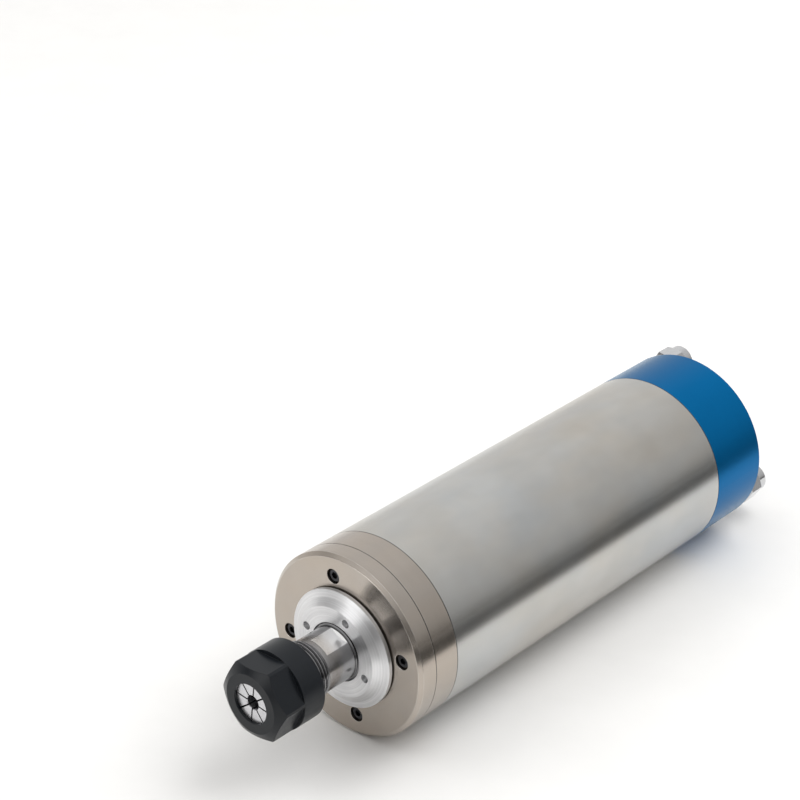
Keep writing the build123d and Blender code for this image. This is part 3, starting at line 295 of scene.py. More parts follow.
class CloudGroup(EffectGroup):
    """Soft patches of handling and polishing, in two sizes."""

    effect = Effect.CLOUDS
    inputs = {"Size": 0.03, "Drift": 0.0}
    outputs = {"Shade": "NodeSocketFloat", "Smear": "NodeSocketFloat"}

    # The small clouds against the large ones, and how long they are drawn out along the axis.
    FINER = 4.3
    STRETCH = (1.0, 0.45, 1.0)
    LARGE_SHARE = 0.65
    SMALL_SHARE = 0.35
    SHADE_NOISE = (0.36, 0.64)
    SMEAR_NOISE = (0.45, 0.75)

    @classmethod
    def fill(cls, graph: Graph, given: bpy.types.NodeOutputs) -> dict[str, object]:
        """Builds a large and a small cloud noise.

        Args:
            graph: the group's nodes.
            given: the group's input sockets.

        Returns:
            The source socket for each output.
        """
        point = graph.vector_math("ADD", graph.place(), given["Drift"]).outputs[0]
        scale = graph.math("DIVIDE", 1.0, given["Size"])
        large = graph.noise(point, scale, detail=3.0, rough=0.55)
        drawn = graph.vector_math("MULTIPLY", point, cls.STRETCH).outputs[0]
        small = graph.noise(drawn, graph.math("MULTIPLY", scale, cls.FINER))
        large = graph.math("MULTIPLY", large, cls.LARGE_SHARE)
        both = graph.math("ADD", large, graph.math("MULTIPLY", small, cls.SMALL_SHARE))
        return {
            "Shade": graph.spread(both, *cls.SHADE_NOISE, *SHADES),
            "Smear": graph.spread(small, *cls.SMEAR_NOISE),
        }


class WearAndHighlightGroup(EffectGroup):
    """Rounded edges that catch the light, and the lighter colour on them: partly worn metal, partly a painted
    highlight.
    """

    effect = Effect.WEAR_AND_HIGHLIGHT
    inputs = {"Radius": 0.0003, "Breakup": 400.0}
    outputs = {"Mask": "NodeSocketFloat", "Normal": "NodeSocketVector"}

    SAMPLES = 6
    # Agreement of the rounded and the flat normal where the lighter edge colour, partly worn metal and partly a
    # painted highlight, starts and where it is full.
    BEND = (0.995, 0.86)
    BREAK_NOISE = (0.35, 0.6)
    LEAST_WEAR_AND_HIGHLIGHT = 0.25

    @classmethod
    def fill(cls, graph: Graph, given: bpy.types.NodeOutputs) -> dict[str, object]:
        """Compares the rounded normal with the flat one.

        Args:
            graph: the group's nodes.
            given: the group's input sockets.

        Returns:
            The source socket for each output.
        """
        rounded = graph.add("ShaderNodeBevel", {"Radius": given["Radius"]}, samples=cls.SAMPLES).outputs[0]
        flat = graph.add("ShaderNodeNewGeometry").outputs["Normal"]
        same = graph.vector_math("DOT_PRODUCT", rounded, flat).outputs["Value"]
        edge = graph.spread(same, *cls.BEND)
        broken = graph.noise(graph.place(), given["Breakup"], detail=3.0, rough=0.6)
        broken = graph.spread(broken, *cls.BREAK_NOISE, cls.LEAST_WEAR_AND_HIGHLIGHT)
        return {"Mask": graph.math("MULTIPLY", edge, broken), "Normal": rounded}


class SpeckGroup(EffectGroup):
    """Small pits or grains, the same in every direction."""

    effect = Effect.SPECKS
    inputs = {"Size": 0.0004}
    outputs = {"Height": "NodeSocketFloat", "Specks": "NodeSocketFloat"}

    SPECK_NOISE = (0.62, 0.74)

    @classmethod
    def fill(cls, graph: Graph, given: bpy.types.NodeOutputs) -> dict[str, object]:
        """Builds one fine noise and the sparse specks in it.

        Args:
            graph: the group's nodes.
            given: the group's input sockets.

        Returns:
            The source socket for each output.
        """
        fine = graph.noise(graph.place(), graph.math("DIVIDE", 1.0, given["Size"]), detail=3.0, rough=0.65)
        return {"Height": fine, "Specks": graph.spread(fine, *cls.SPECK_NOISE)}


# Finishes


@dataclass(frozen=True)
class Finish:
    """Base of the finishes: colour, gloss and the edges' roundness."""

    slot: str
    colour: Colour
    roughness: float = 0.4
    metallic: float = 1.0
    edge_round: float = 0.00025
    ior: float = 1.5

    LEAST_ROUGHNESS = 0.05
    # What the clouds of a hidden piece take from its roughness and add to it.
    GLOSSIER = 0.05
    DULLER = 0.15

    @property
    def name(self) -> str:
        """Name of the material."""
        return f"{self.slot}_finish"

    def material(self) -> bpy.types.Material:
        """Builds the finish's material the first time, and finds it again later.

        Returns:
            The material.
        """
        found = bpy.data.materials.get(self.name)
        if found:
            return found
        made = bpy.data.materials.new(self.name)
        made.use_nodes = True
        made.node_tree.nodes.clear()
        graph = Graph(made.node_tree)
        shader = graph.add("ShaderNodeBsdfPrincipled")
        graph.add("ShaderNodeOutputMaterial", {"Surface": shader.outputs[0]})
        shader.inputs["IOR"].default_value = self.ior
        shader.inputs["Metallic"].default_value = self.metallic
        self.dress(graph, shader)
        return made

    def dress(self, graph: Graph, shader: bpy.types.Node) -> None:
        """Feeds the shader with the finish's detail.

        Args:
            graph: the material's nodes.
            shader: the material's Principled BSDF.
        """
        raise NotImplementedError

    def soften(self, graph: Graph, shader: bpy.types.Node, rough: Value) -> None:
        """Feeds the shader's roughness, and keeps it above a mirror's."""
        graph.feed(shader.inputs["Roughness"], graph.math("MAXIMUM", rough, self.LEAST_ROUGHNESS))

    def emboss(self, graph: Graph, shader: bpy.types.Node, wear_and_highlight: bpy.types.Node, height: Value, depth: float) -> None:
        """Feeds the shader's normal with a relief over the rounded edges."""
        bump = graph.add("ShaderNodeBump", {"Height": height, "Distance": depth, "Normal": wear_and_highlight.outputs["Normal"]})
        graph.feed(shader.inputs["Normal"], bump.outputs[0])


@dataclass(frozen=True)
class TurnedMetal(Finish):
    """Metal with lathe or brushing lines round the axis, cloudy patches, bright edges that are partly worn and partly
    a painted highlight, and painted shade in grooves and joints.
    """

    lines: float = 900.0
    fine_lines: float = 3200.0
    sweep: float = 3.0
    line_depth: float = 2e-6
    line_shade: float = 0.08
    line_rough: float = 0.06
    cloud_size: float = 0.03
    cloud_shade: float = 0.05
    cloud_rough: float = 0.06
    cloud_tint: float = 0.0
    smear_rough: float = 0.0
    # Strength and colour of the lighter edges: partly worn metal, partly a painted highlight.
    wear_and_highlight: float = 0.5
    wear_and_highlight_colour: Colour = (0.8, 0.8, 0.8)
    # Strength of the painted shade at the root of thread grooves.
    painted_groove_shade: float = 0.0
    # Places along the axis of the joints where a line of painted shade goes.
    seams: tuple[float, ...] = ()
    # Radius below which the shaft is milled flat, and the flats' lighter colour: partly their milled finish, partly a
    # painted highlight.
    flat_radius: float = 0.0
    flat_colour_and_highlight: Colour = (0.8, 0.8, 0.8)
    anisotropy: float = 0.0
    coat: float = 0.0
    coat_roughness: float = 0.2
    coat_tint: Colour = (1.0, 1.0, 1.0)
    edge_tint: Colour = (1.0, 1.0, 1.0)

    # The warm and cool patches against the clouds: their size, their place and how much stronger the blue moves.
    PATCH_SIZE = 1.4
    PATCH_DRIFT = 0.37
    PATCH_BLUE = -1.3
    # Depth under the round surface where a milled flat starts, deeper than the mesh's own facets.
    FLAT_DEPTH = (0.00009, 0.00016)
    # Colour of the painted shade in thread grooves.
    PAINTED_GROOVE_SHADE_COLOUR = (0.02, 0.02, 0.022)
    # Colour, width and strength of the painted shade in the gap at each joint.
    PAINTED_SEAM_SHADE_COLOUR = (0.03, 0.028, 0.026)
    SEAM_WIDTH = (0.00012, 0.00025)
    SEAM_SHARE = 0.85
    COAT_FACING = (0.4, 0.85)
    QUARTER_TURN = 0.25

    def dress(self, graph: Graph, shader: bpy.types.Node) -> None:
        """Feeds the shader with lines, clouds, edges lighter from worn metal and a painted highlight, and painted
        shade in grooves and joints.

        Args:
            graph: the material's nodes.
            shader: the material's Principled BSDF.
        """
        grain = GrainGroup.use(graph, lines=self.lines, fine_lines=self.fine_lines, sweep=self.sweep)
        cloud = CloudGroup.use(graph, size=self.cloud_size)
        wear_and_highlight = WearAndHighlightGroup.use(graph, radius=self.edge_round)
        colour = graph.mix(1.0, self.ground(graph), self.tint(graph, grain, cloud), "MULTIPLY")
        # Lighter edge colour: partly worn metal, partly a painted highlight on edges that catch the light.
        wear_and_highlight_mask = graph.math("MULTIPLY", wear_and_highlight.outputs["Mask"], self.wear_and_highlight)
        colour = graph.mix(wear_and_highlight_mask, colour, self.wear_and_highlight_colour)
        graph.feed(shader.inputs["Base Color"], self.with_painted_shade(graph, colour))
        rough = graph.math("MULTIPLY_ADD", grain.outputs["Shade"], self.line_rough, self.roughness)
        rough = graph.math("MULTIPLY_ADD", cloud.outputs["Shade"], self.cloud_rough, rough)
        rough = graph.math("MULTIPLY_ADD", cloud.outputs["Smear"], self.smear_rough, rough)
        self.soften(graph, shader, rough)
        self.emboss(graph, shader, wear_and_highlight, grain.outputs["Height"], self.line_depth)
        shader.inputs["Specular Tint"].default_value = (*self.edge_tint, 1.0)
        if self.coat:
            self.lacquer(graph, shader)
        if self.anisotropy:
            self.brush(graph, shader)

    def tint(self, graph: Graph, grain: bpy.types.Node, cloud: bpy.types.Node) -> bpy.types.NodeSocket:
        """Shade of the lines and clouds, warmer and cooler by turns where the finish has tinted patches.

        Args:
            graph: the material's nodes.
            grain: the lines' group node.
            cloud: the clouds' group node.

        Returns:
            The colour that the ground is multiplied by.
        """
        shade = graph.math("MULTIPLY_ADD", grain.outputs["Shade"], self.line_shade, 1.0)
        shade = graph.math("MULTIPLY_ADD", cloud.outputs["Shade"], self.cloud_shade, shade)
        if not self.cloud_tint:
            return graph.grey(shade)
        patch = CloudGroup.use(graph, size=self.cloud_size * self.PATCH_SIZE, drift=self.PATCH_DRIFT)
        red = graph.math("MULTIPLY_ADD", patch.outputs["Shade"], self.cloud_tint, shade)
        blue = graph.math("MULTIPLY_ADD", patch.outputs["Shade"], self.cloud_tint * self.PATCH_BLUE, shade)
        return graph.add("ShaderNodeCombineColor", {0: red, 1: shade, 2: blue}).outputs[0]

    def ground(self, graph: Graph) -> Colour | bpy.types.NodeSocket:
        """Colour under the lines and clouds, lighter on what is milled below the round surface: partly the flats' own
        milled finish, partly a painted highlight where the flats face the light.

        Args:
            graph: the material's nodes.

        Returns:
            The colour, or its socket where the finish has milled flats.
        """
        if not self.flat_radius:
            return self.colour
        below = graph.math("SUBTRACT", self.flat_radius, graph.off_axis(graph.split(graph.place())))
        # Flats lighter: partly their milled finish, partly a painted highlight where they face the light.
        return graph.mix(graph.spread(below, *self.FLAT_DEPTH), self.colour, self.flat_colour_and_highlight)

    def with_painted_shade(self, graph: Graph, colour: bpy.types.NodeSocket) -> bpy.types.NodeSocket:
        """Paints shade into the colour in thread grooves and at the joints with the neighbouring pieces.

        Args:
            graph: the material's nodes.
            colour: the surface's colour.

        Returns:
            The colour with its painted shade.
        """
        # Painted shade: darker towards the root of each thread groove.
        if self.painted_groove_shade:
            groove = graph.add("ShaderNodeAttribute", attribute_name=Thread.GROOVE).outputs["Fac"]
            colour = graph.mix(graph.math("MULTIPLY", groove, self.painted_groove_shade), colour, self.PAINTED_GROOVE_SHADE_COLOUR)
        # Painted shade: a thin dark line where the gap at each joint falls in shade.
        if self.seams:
            along = graph.split(graph.place())[1]
            for seam in self.seams:
                gap = graph.math("ABSOLUTE", graph.math("SUBTRACT", along, seam))
                dark = graph.spread(gap, *self.SEAM_WIDTH, self.SEAM_SHARE, 0.0)
                colour = graph.mix(dark, colour, self.PAINTED_SEAM_SHADE_COLOUR)
        return colour

    def lacquer(self, graph: Graph, shader: bpy.types.Node) -> None:
        """Lays a clear coat on what is seen aslant.

        Args:
            graph: the material's nodes.
            shader: the material's Principled BSDF.
        """
        facing = graph.add("ShaderNodeLayerWeight", {"Blend": 0.5}).outputs["Facing"]
        graph.feed(shader.inputs["Coat Weight"], graph.spread(facing, *self.COAT_FACING, 0.0, self.coat))
        shader.inputs["Coat Roughness"].default_value = self.coat_roughness
        shader.inputs["Coat Tint"].default_value = (*self.coat_tint, 1.0)

    def brush(self, graph: Graph, shader: bpy.types.Node) -> None:
        """Draws the highlights out across the lines.

        Args:
            graph: the material's nodes.
            shader: the material's Principled BSDF.
        """
        shader.inputs["Anisotropic"].default_value = self.anisotropy
        shader.inputs["Anisotropic Rotation"].default_value = self.QUARTER_TURN
        tangent = graph.add("ShaderNodeTangent", direction_type="RADIAL", axis="Y")
        graph.feed(shader.inputs["Tangent"], tangent.outputs[0])


@dataclass(frozen=True)
class GrainyMetal(Finish):
    """Metal without a direction: blasted, cast, blackened or plated."""

    speck_size: float = 0.0004
    speck_depth: float = 4e-6
    speck_shade: float = 0.06
    cloud_size: float = 0.02
    cloud_shade: float = 0.08
    cloud_rough: float = 0.06
    # Strength and colour of the lighter edges: partly worn metal, partly a painted highlight.
    wear_and_highlight: float = 0.4
    wear_and_highlight_colour: Colour = (0.5, 0.5, 0.5)

    def dress(self, graph: Graph, shader: bpy.types.Node) -> None:
        """Feeds the shader with specks, clouds and edges lighter from worn metal and a painted highlight.

        Args:
            graph: the material's nodes.
            shader: the material's Principled BSDF.
        """
        specks = SpeckGroup.use(graph, size=self.speck_size)
        cloud = CloudGroup.use(graph, size=self.cloud_size)
        wear_and_highlight = WearAndHighlightGroup.use(graph, radius=self.edge_round)
        shade = graph.math("MULTIPLY_ADD", cloud.outputs["Shade"], self.cloud_shade, 1.0)
        shade = graph.math("MULTIPLY_ADD", specks.outputs["Specks"], self.speck_shade, shade)
        colour = graph.mix(1.0, self.colour, graph.grey(shade), "MULTIPLY")
        # Lighter edge colour: partly worn metal, partly a painted highlight on edges that catch the light.
        wear_and_highlight_mask = graph.math("MULTIPLY", wear_and_highlight.outputs["Mask"], self.wear_and_highlight)
        graph.feed(shader.inputs["Base Color"], graph.mix(wear_and_highlight_mask, colour, self.wear_and_highlight_colour))
        rough = graph.math("MULTIPLY_ADD", cloud.outputs["Shade"], self.cloud_rough, self.roughness)
        self.soften(graph, shader, rough)
        self.emboss(graph, shader, wear_and_highlight, specks.outputs["Height"], self.speck_depth)


@dataclass(frozen=True)
class Moulded(GrainyMetal):
    """Plastic, resin, rubber or silicone, with a fine moulded grain."""

    metallic: float = 0.0
    wear_and_highlight: float = 0.15


@dataclass(frozen=True)
class Laminated(Finish):
    """Stack of thin sheets, seen as close rings along the axis."""

    sheet: float = 0.0005
    joint_depth: float = 3e-5
    joint_colour: Colour = (0.06, 0.06, 0.065)
    stain: Colour = (0.34, 0.3, 0.27)
    stain_share: float = 0.5
    cloud_size: float = 0.012

    # Distance from a sheet's middle, in sheets, where the joint starts and where it is deepest.
    JOINT = (0.32, 0.5)

    def dress(self, graph: Graph, shader: bpy.types.Node) -> None:
        """Feeds the shader with the joints between the sheets.

        Args:
            graph: the material's nodes.
            shader: the material's Principled BSDF.
        """
        along = graph.split(graph.place())[1]
        wave = graph.math("FRACT", graph.math("DIVIDE", along, self.sheet))
        joint = graph.spread(graph.math("ABSOLUTE", graph.math("SUBTRACT", wave, 0.5)), *self.JOINT)
        cloud = CloudGroup.use(graph, size=self.cloud_size).outputs["Shade"]
        wear_and_highlight = WearAndHighlightGroup.use(graph, radius=self.edge_round)
        colour = graph.mix(graph.spread(cloud, *SHADES, 0.0, self.stain_share), self.colour, self.stain)
        graph.feed(shader.inputs["Base Color"], graph.mix(joint, colour, self.joint_colour))
        rough = graph.spread(cloud, *SHADES, self.roughness - self.GLOSSIER, self.roughness + self.DULLER)
        self.soften(graph, shader, rough)
        self.emboss(graph, shader, wear_and_highlight, graph.math("SUBTRACT", 1.0, joint), self.joint_depth)


@dataclass(frozen=True)
class Wound(Finish):
    """Varnished copper wire laid side by side, as in the coils' end turns."""

    wire: float = 0.0009
    wire_depth: float = 3e-4
    varnish: Colour = (0.16, 0.05, 0.02)
    varnish_share: float = 0.6
    # Colour of the painted shade in the gaps between the wires.
    gap_shade_colour: Colour = (0.05, 0.015, 0.008)
    cloud_size: float = 0.01
    coat: float = 0.6
    coat_roughness: float = 0.15

    # How often and how far the rows lean to and fro in one turn.
    LEANS = 9.0
    LEAN = 0.0012
    # Height of the wires' sides where the painted shade in the gap between wires starts, down to where it is deepest.
    GAP = (0.35, 0.0)

    def dress(self, graph: Graph, shader: bpy.types.Node) -> None:
        """Feeds the shader with rows of wire that lean from layer to layer.

        Args:
            graph: the material's nodes.
            shader: the material's Principled BSDF.
        """
        part = graph.split(graph.place())
        turn = graph.math("ARCTAN2", part[2], part[0])
        lean = graph.math("MULTIPLY", graph.math("SINE", graph.math("MULTIPLY", turn, self.LEANS)), self.LEAN)
        row = graph.math("ADD", graph.math("ADD", part[1], graph.off_axis(part)), lean)
        wave = graph.math("SINE", graph.math("MULTIPLY", row, 2 * math.pi / self.wire))
        height = graph.spread(wave, *SHADES)
        cloud = CloudGroup.use(graph, size=self.cloud_size).outputs["Shade"]
        colour = graph.mix(graph.spread(cloud, *SHADES, 0.0, self.varnish_share), self.colour, self.varnish)
        # Painted shade in the gaps between the wires.
        graph.feed(shader.inputs["Base Color"], graph.mix(graph.spread(height, *self.GAP), colour, self.gap_shade_colour))
        rough = graph.spread(cloud, *SHADES, self.roughness - self.GLOSSIER, self.roughness + self.DULLER)
        self.soften(graph, shader, rough)
        bump = graph.add("ShaderNodeBump", {"Height": height, "Distance": self.wire_depth})
        graph.feed(shader.inputs["Normal"], bump.outputs[0])
        shader.inputs["Coat Weight"].default_value = self.coat
        shader.inputs["Coat Roughness"].default_value = self.coat_roughness


FINISHES: tuple[Finish, ...] = (
    TurnedMetal("brushed_sleeve", (0.53, 0.522, 0.5), roughness=0.225, lines=520.0, fine_lines=2200.0, sweep=1.6,
                line_depth=1e-7, line_shade=0.008, line_rough=0.005, cloud_size=0.05, cloud_shade=0.075,
                cloud_rough=0.014, cloud_tint=0.035, smear_rough=0.014, anisotropy=0.85, wear_and_highlight=0.6,
                wear_and_highlight_colour=(0.8, 0.79, 0.76), seams=(0.0215, 0.198)),
    # Its lighter edge colour is mostly a painted highlight on the chamfers and counterbore rims.
    TurnedMetal("front_steel", (0.46, 0.412, 0.365), roughness=0.2, lines=900.0, fine_lines=3200.0, sweep=1.4,
                line_depth=1.5e-7, line_shade=0.02, line_rough=0.01, cloud_size=0.03, cloud_shade=0.04,
                cloud_rough=0.015, cloud_tint=0.015, smear_rough=0.02, anisotropy=0.8, wear_and_highlight=0.8,
                wear_and_highlight_colour=(0.95, 0.93, 0.9), edge_round=0.0003, seams=(0.009, 0.0215)),
    TurnedMetal("turned_aluminium", (0.75, 0.75, 0.76), roughness=0.36, lines=1500.0, fine_lines=4200.0, sweep=0.4,
                line_depth=3e-6, line_shade=0.15, line_rough=0.03, cloud_size=0.015, cloud_shade=0.03,
                cloud_rough=0.02, anisotropy=0.93, wear_and_highlight=0.9, wear_and_highlight_colour=(0.92, 0.92, 0.92), edge_round=0.0002),
    TurnedMetal("shaft_steel", (0.45, 0.45, 0.46), roughness=0.215, lines=1400.0, fine_lines=5200.0, sweep=1.2,
                line_depth=1e-7, line_shade=0.02, line_rough=0.008, cloud_size=0.012, cloud_shade=0.03,
                cloud_rough=0.012, wear_and_highlight=0.6, wear_and_highlight_colour=(0.9, 0.9, 0.9), edge_round=0.00006, anisotropy=0.5,
                painted_groove_shade=0.9, flat_radius=0.0116, flat_colour_and_highlight=(0.97, 0.97, 0.97)),
    TurnedMetal("collet_steel", (0.62, 0.62, 0.64), roughness=0.34, lines=2200.0, fine_lines=6400.0, sweep=1.5,
                line_depth=1e-6, line_shade=0.06, line_rough=0.02, cloud_size=0.008, cloud_rough=0.03, wear_and_highlight=0.6,
                wear_and_highlight_colour=(0.9, 0.9, 0.91), edge_round=0.00015),
    GrainyMetal("black_oxide", (0.008, 0.0098, 0.0125), roughness=0.34, metallic=0.0, ior=1.33, speck_size=0.0005,
                speck_depth=3e-6, speck_shade=0.1, cloud_size=0.012, cloud_shade=0.1, cloud_rough=0.05, wear_and_highlight=0.3,
                wear_and_highlight_colour=(0.06, 0.065, 0.07), edge_round=0.0003),
    GrainyMetal("black_screws", (0.06, 0.06, 0.065), roughness=0.34, speck_size=0.0003, speck_depth=2e-6,
                cloud_size=0.003, wear_and_highlight=0.4, wear_and_highlight_colour=(0.3, 0.3, 0.3), edge_round=0.0002),
    TurnedMetal("bearing_steel", (0.66, 0.66, 0.67), roughness=0.12, lines=2400.0, fine_lines=7000.0, sweep=1.0,
                line_depth=4e-7, line_shade=0.03, line_rough=0.03, cloud_size=0.01, wear_and_highlight=0.3),
    Moulded("cage_resin", (0.36, 0.2, 0.08), roughness=0.5, speck_size=0.0006, speck_depth=8e-6, speck_shade=0.25,
            cloud_size=0.006, cloud_shade=0.15, wear_and_highlight_colour=(0.5, 0.32, 0.15)),
    Laminated("laminations", (0.3, 0.3, 0.32), roughness=0.4),
    GrainyMetal("cast_aluminium", (0.62, 0.62, 0.63), roughness=0.48, speck_size=0.0008, speck_depth=2e-5,
                speck_shade=-0.1, cloud_size=0.01, wear_and_highlight_colour=(0.8, 0.8, 0.8)),
    TurnedMetal("jacket_aluminium", (0.70, 0.70, 0.71), roughness=0.38, lines=1300.0, fine_lines=3800.0, sweep=1.5,
                line_depth=4e-6, line_shade=0.08, cloud_size=0.02, wear_and_highlight=0.5),
    Wound("copper_winding", (0.55, 0.2, 0.08), roughness=0.3),
    Moulded("lead_insulation", (0.36, 0.03, 0.025), roughness=0.42, speck_size=0.0005, speck_depth=4e-6,
            cloud_size=0.006, wear_and_highlight=0.0),
    Moulded("seal_rubber", (0.018, 0.018, 0.019), roughness=0.62, speck_size=0.0003, speck_depth=6e-6,
            cloud_size=0.004, wear_and_highlight=0.2, wear_and_highlight_colour=(0.06, 0.06, 0.06)),
    GrainyMetal("spring_steel", (0.36, 0.34, 0.33), roughness=0.36, speck_size=0.0004, cloud_size=0.006,
                cloud_shade=0.12),
    TurnedMetal("blue_anodised", (0.0006, 0.142, 0.375), roughness=0.3, metallic=0.82, lines=620.0, fine_lines=2600.0,
                sweep=1.2, line_depth=1e-7, line_shade=0.012, line_rough=0.008, cloud_size=0.05, cloud_shade=0.03,
                cloud_rough=0.01, anisotropy=0.7, wear_and_highlight=0.35, wear_and_highlight_colour=(0.2, 0.42, 0.68), edge_round=0.0004,
                coat=0.7, coat_roughness=0.22, coat_tint=(0.25, 0.5, 0.55), edge_tint=(0.35, 0.72, 0.95),
                seams=(0.198,)),
    GrainyMetal("nickel_fittings", (0.64, 0.645, 0.66), roughness=0.14, speck_size=0.0006, speck_depth=1e-6,
                speck_shade=0.03, cloud_size=0.006, cloud_shade=0.04, cloud_rough=0.05, wear_and_highlight=0.5,
                wear_and_highlight_colour=(0.85, 0.85, 0.86), edge_round=0.0003),
    Moulded("socket_plastic", (0.022, 0.022, 0.024), roughness=0.45, speck_size=0.0004, speck_depth=5e-6,
            cloud_size=0.005, wear_and_highlight_colour=(0.06, 0.06, 0.06)),
    TurnedMetal("contact_brass", (0.72, 0.5, 0.18), roughness=0.18, lines=2600.0, fine_lines=8000.0,
                line_depth=6e-7, line_shade=0.04, line_rough=0.03, cloud_size=0.004, cloud_rough=0.03,
                wear_and_highlight=0.3, wear_and_highlight_colour=(0.85, 0.65, 0.3)),
)


# Pieces that the solids leave plain


@dataclass(frozen=True)
class Thread:
    """Helical ridges of an outside thread on the axis, laid over a plain cylinder of the solids.

    The profile rises from the root to a flat crest and falls again once in each pitch, and fades out at both ends.
    """

    name: str
    body: str
    slot: str
    start: float
    end: float
    root_r: float
    crest_r: float
    pitch: float
    steps: int = 96

    # Place in the pitch and share of the height of each point of the profile.
    PROFILE = ((0.0, 0.0), (0.34, 1.0), (0.48, 1.0), (0.82, 0.0))
    # Name of the mesh's own value that is 1 at the root and 0 at the crest; the finish paints shade into the grooves
    # from it.
    GROOVE = "groove"
    SHARP_ANGLE = 25.0

    def height_at(self, along: float) -> float:
        """Share of the ridge's height left at a place along the thread.

        Args:
            along: distance along the axis.

        Returns:
            1 in the middle, falling to 0 over one pitch at each end.
        """
        room = min(along - self.start, self.end - along) / self.pitch
        return max(0.0, min(1.0, room))

    def rows(self) -> list[list[Vector]]:
        """Points of the ridges, one row for each profile point of each pitch.

        Returns:
            Rows of points, each running once round the axis.
        """
        pitches = math.ceil((self.end - self.start) / self.pitch) + 1
        rows = []
        for turn in range(-1, pitches):
            for part, rise in self.PROFILE:
                row = []
                for step in range(self.steps + 1):
                    share = step / self.steps
                    along = self.start + (turn + part + share) * self.pitch
                    along = max(self.start, min(self.end, along))
                    radius = self.root_r + (self.crest_r - self.root_r) * rise * self.height_at(along)
                    angle = 2 * math.pi * share
                    row.append(Vector((radius * math.cos(angle), along, radius * math.sin(angle))))
                rows.append(row)
        return rows

    def mesh(self) -> bpy.types.Mesh:
        """Makes the ridges' mesh, with its depth in the groove kept at each point.

        Returns:
            The new mesh.
        """
        rows = self.rows()
        width = self.steps + 1
        points = [point for row in rows for point in row]
        faces = []
        for i in range(len(rows) - 1):
            for j in range(self.steps):
                corner = i * width + j
                faces.append((corner, corner + width, corner + width + 1, corner + 1))
        mesh = bpy.data.meshes.new(self.name)
        mesh.from_pydata(points, [], faces)
        mesh.validate()
        mesh.shade_smooth()
        mesh.set_sharp_from_angle(angle=math.radians(self.SHARP_ANGLE))
        groove = mesh.attributes.new(self.GROOVE, "FLOAT", "POINT")
        for point, value in zip(points, groove.data):
            depth = (self.crest_r - math.hypot(point.x, point.z)) / (self.crest_r - self.root_r)
            value.value = max(0.0, min(1.0, depth))
        return mesh

    def build(self) -> bpy.types.Object:
        """Makes the thread and lets it ride on its body.

        Returns:
            The new object.
        """
        piece = bpy.data.objects.new(self.name, self.mesh())
        bpy.context.scene.collection.objects.link(piece)
        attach(piece, self.body)
        return piece


@dataclass(frozen=True)
class ThreadSet:
    """The shaft's outside threads: the long one on the nose for the nut, and the short one at the dust cap."""

    pitch: float = 0.0015
    root_r: float = 0.01158
    crest_r: float = 0.0125
    runs: tuple[tuple[str, float, float], ...] = (("nose_thread", -0.0444, -0.0205), ("cap_thread", -0.0066, -0.0024))

    def pieces(self) -> list[Thread]:
        """Lists the threads.

        Returns:
            The threads, front to back.
        """
        return [
            Thread(name, "spindle", "shaft_steel", start, end, self.root_r, self.crest_r, self.pitch)
            for name, start, end in self.runs
        ]

    def build(self, finishes: dict[str, Finish]) -> None:
        """Makes and dresses each thread.

        Args:
            finishes: the finish of each slot.
        """
        for thread in self.pieces():
            piece = thread.build()
            piece.data.materials.append(finishes[thread.slot].material())
            LOG.info("%s: %d faces on %s", thread.name, len(piece.data.polygons), thread.body)


@dataclass(frozen=True)
class Solids:
    """The pieces that come from the solids, each dressed in the finish of its slot."""

    nodes: dict[str, bpy.types.Object]
    slots: dict[str, str]

    def dress(self, finishes: dict[str, Finish]) -> None:
        """Gives each piece its finish.

        Args:
            finishes: the finish of each slot.
        """
        for name, piece in self.nodes.items():
            material = finishes[self.slots[name]].material()
            if not piece.material_slots:
                piece.data.materials.append(material)
            for slot in piece.material_slots:
                slot.material = material
            LOG.info("%s: %s", name, material.name)


# Studio


def direction(turn: float, rise: float) -> Vector:
    """Points from the spindle to a place round it.

    Args:
        turn: degrees from straight ahead of the nose to the right.
        rise: degrees above the floor.

    Returns:
        The direction, one unit long.
    """
    turn, rise = math.radians(turn), math.radians(rise)
    return Vector((math.sin(turn) * math.cos(rise), -math.cos(turn) * math.cos(rise), math.sin(rise)))


@dataclass(frozen=True)
class Camera:
    """Camera at the photograph's viewing angle."""

    azimuth: float = 41.742
    elevation: float = 27.803
    distance: float = 0.97376
    aim: tuple[float, float, float] = (-0.05332, 0.09230, 0.05431)
    lens: float = 103.84
    sensor: float = 36.0

    def build(self) -> None:
        """Places the camera and makes it the scene's own."""
        back = direction(self.azimuth, self.elevation)
        lens = bpy.data.cameras.new("camera")
        lens.lens = self.lens
        lens.sensor_width = self.sensor
        camera = bpy.data.objects.new("camera", lens)
        camera.location = Vector(self.aim) + back * self.distance
        camera.rotation_euler = (-back).to_track_quat("-Z", "Y").to_euler()
        bpy.context.scene.collection.objects.link(camera)
        bpy.context.scene.camera = camera
        LOG.info("camera: lens %.1f mm", self.lens)


@dataclass(frozen=True)
class SoftLight:
    """Soft square light that faces the spindle, and isn't seen in its reflections."""

    name: str
    place: tuple[float, float, float]
    size: float
    power: float
    aim: tuple[float, float, float] = (0.0, 0.1, 0.0)

    def build(self) -> None:
        """Hangs the light."""
        data = bpy.data.lights.new(self.name, "AREA")
        data.size = self.size
        data.energy = self.power
        lamp = bpy.data.objects.new(self.name, data)
        lamp.location = self.place
        lamp.rotation_euler = (Vector(self.aim) - Vector(self.place)).to_track_quat("-Z", "Y").to_euler()
        lamp.visible_glossy = False
        bpy.context.scene.collection.objects.link(lamp)


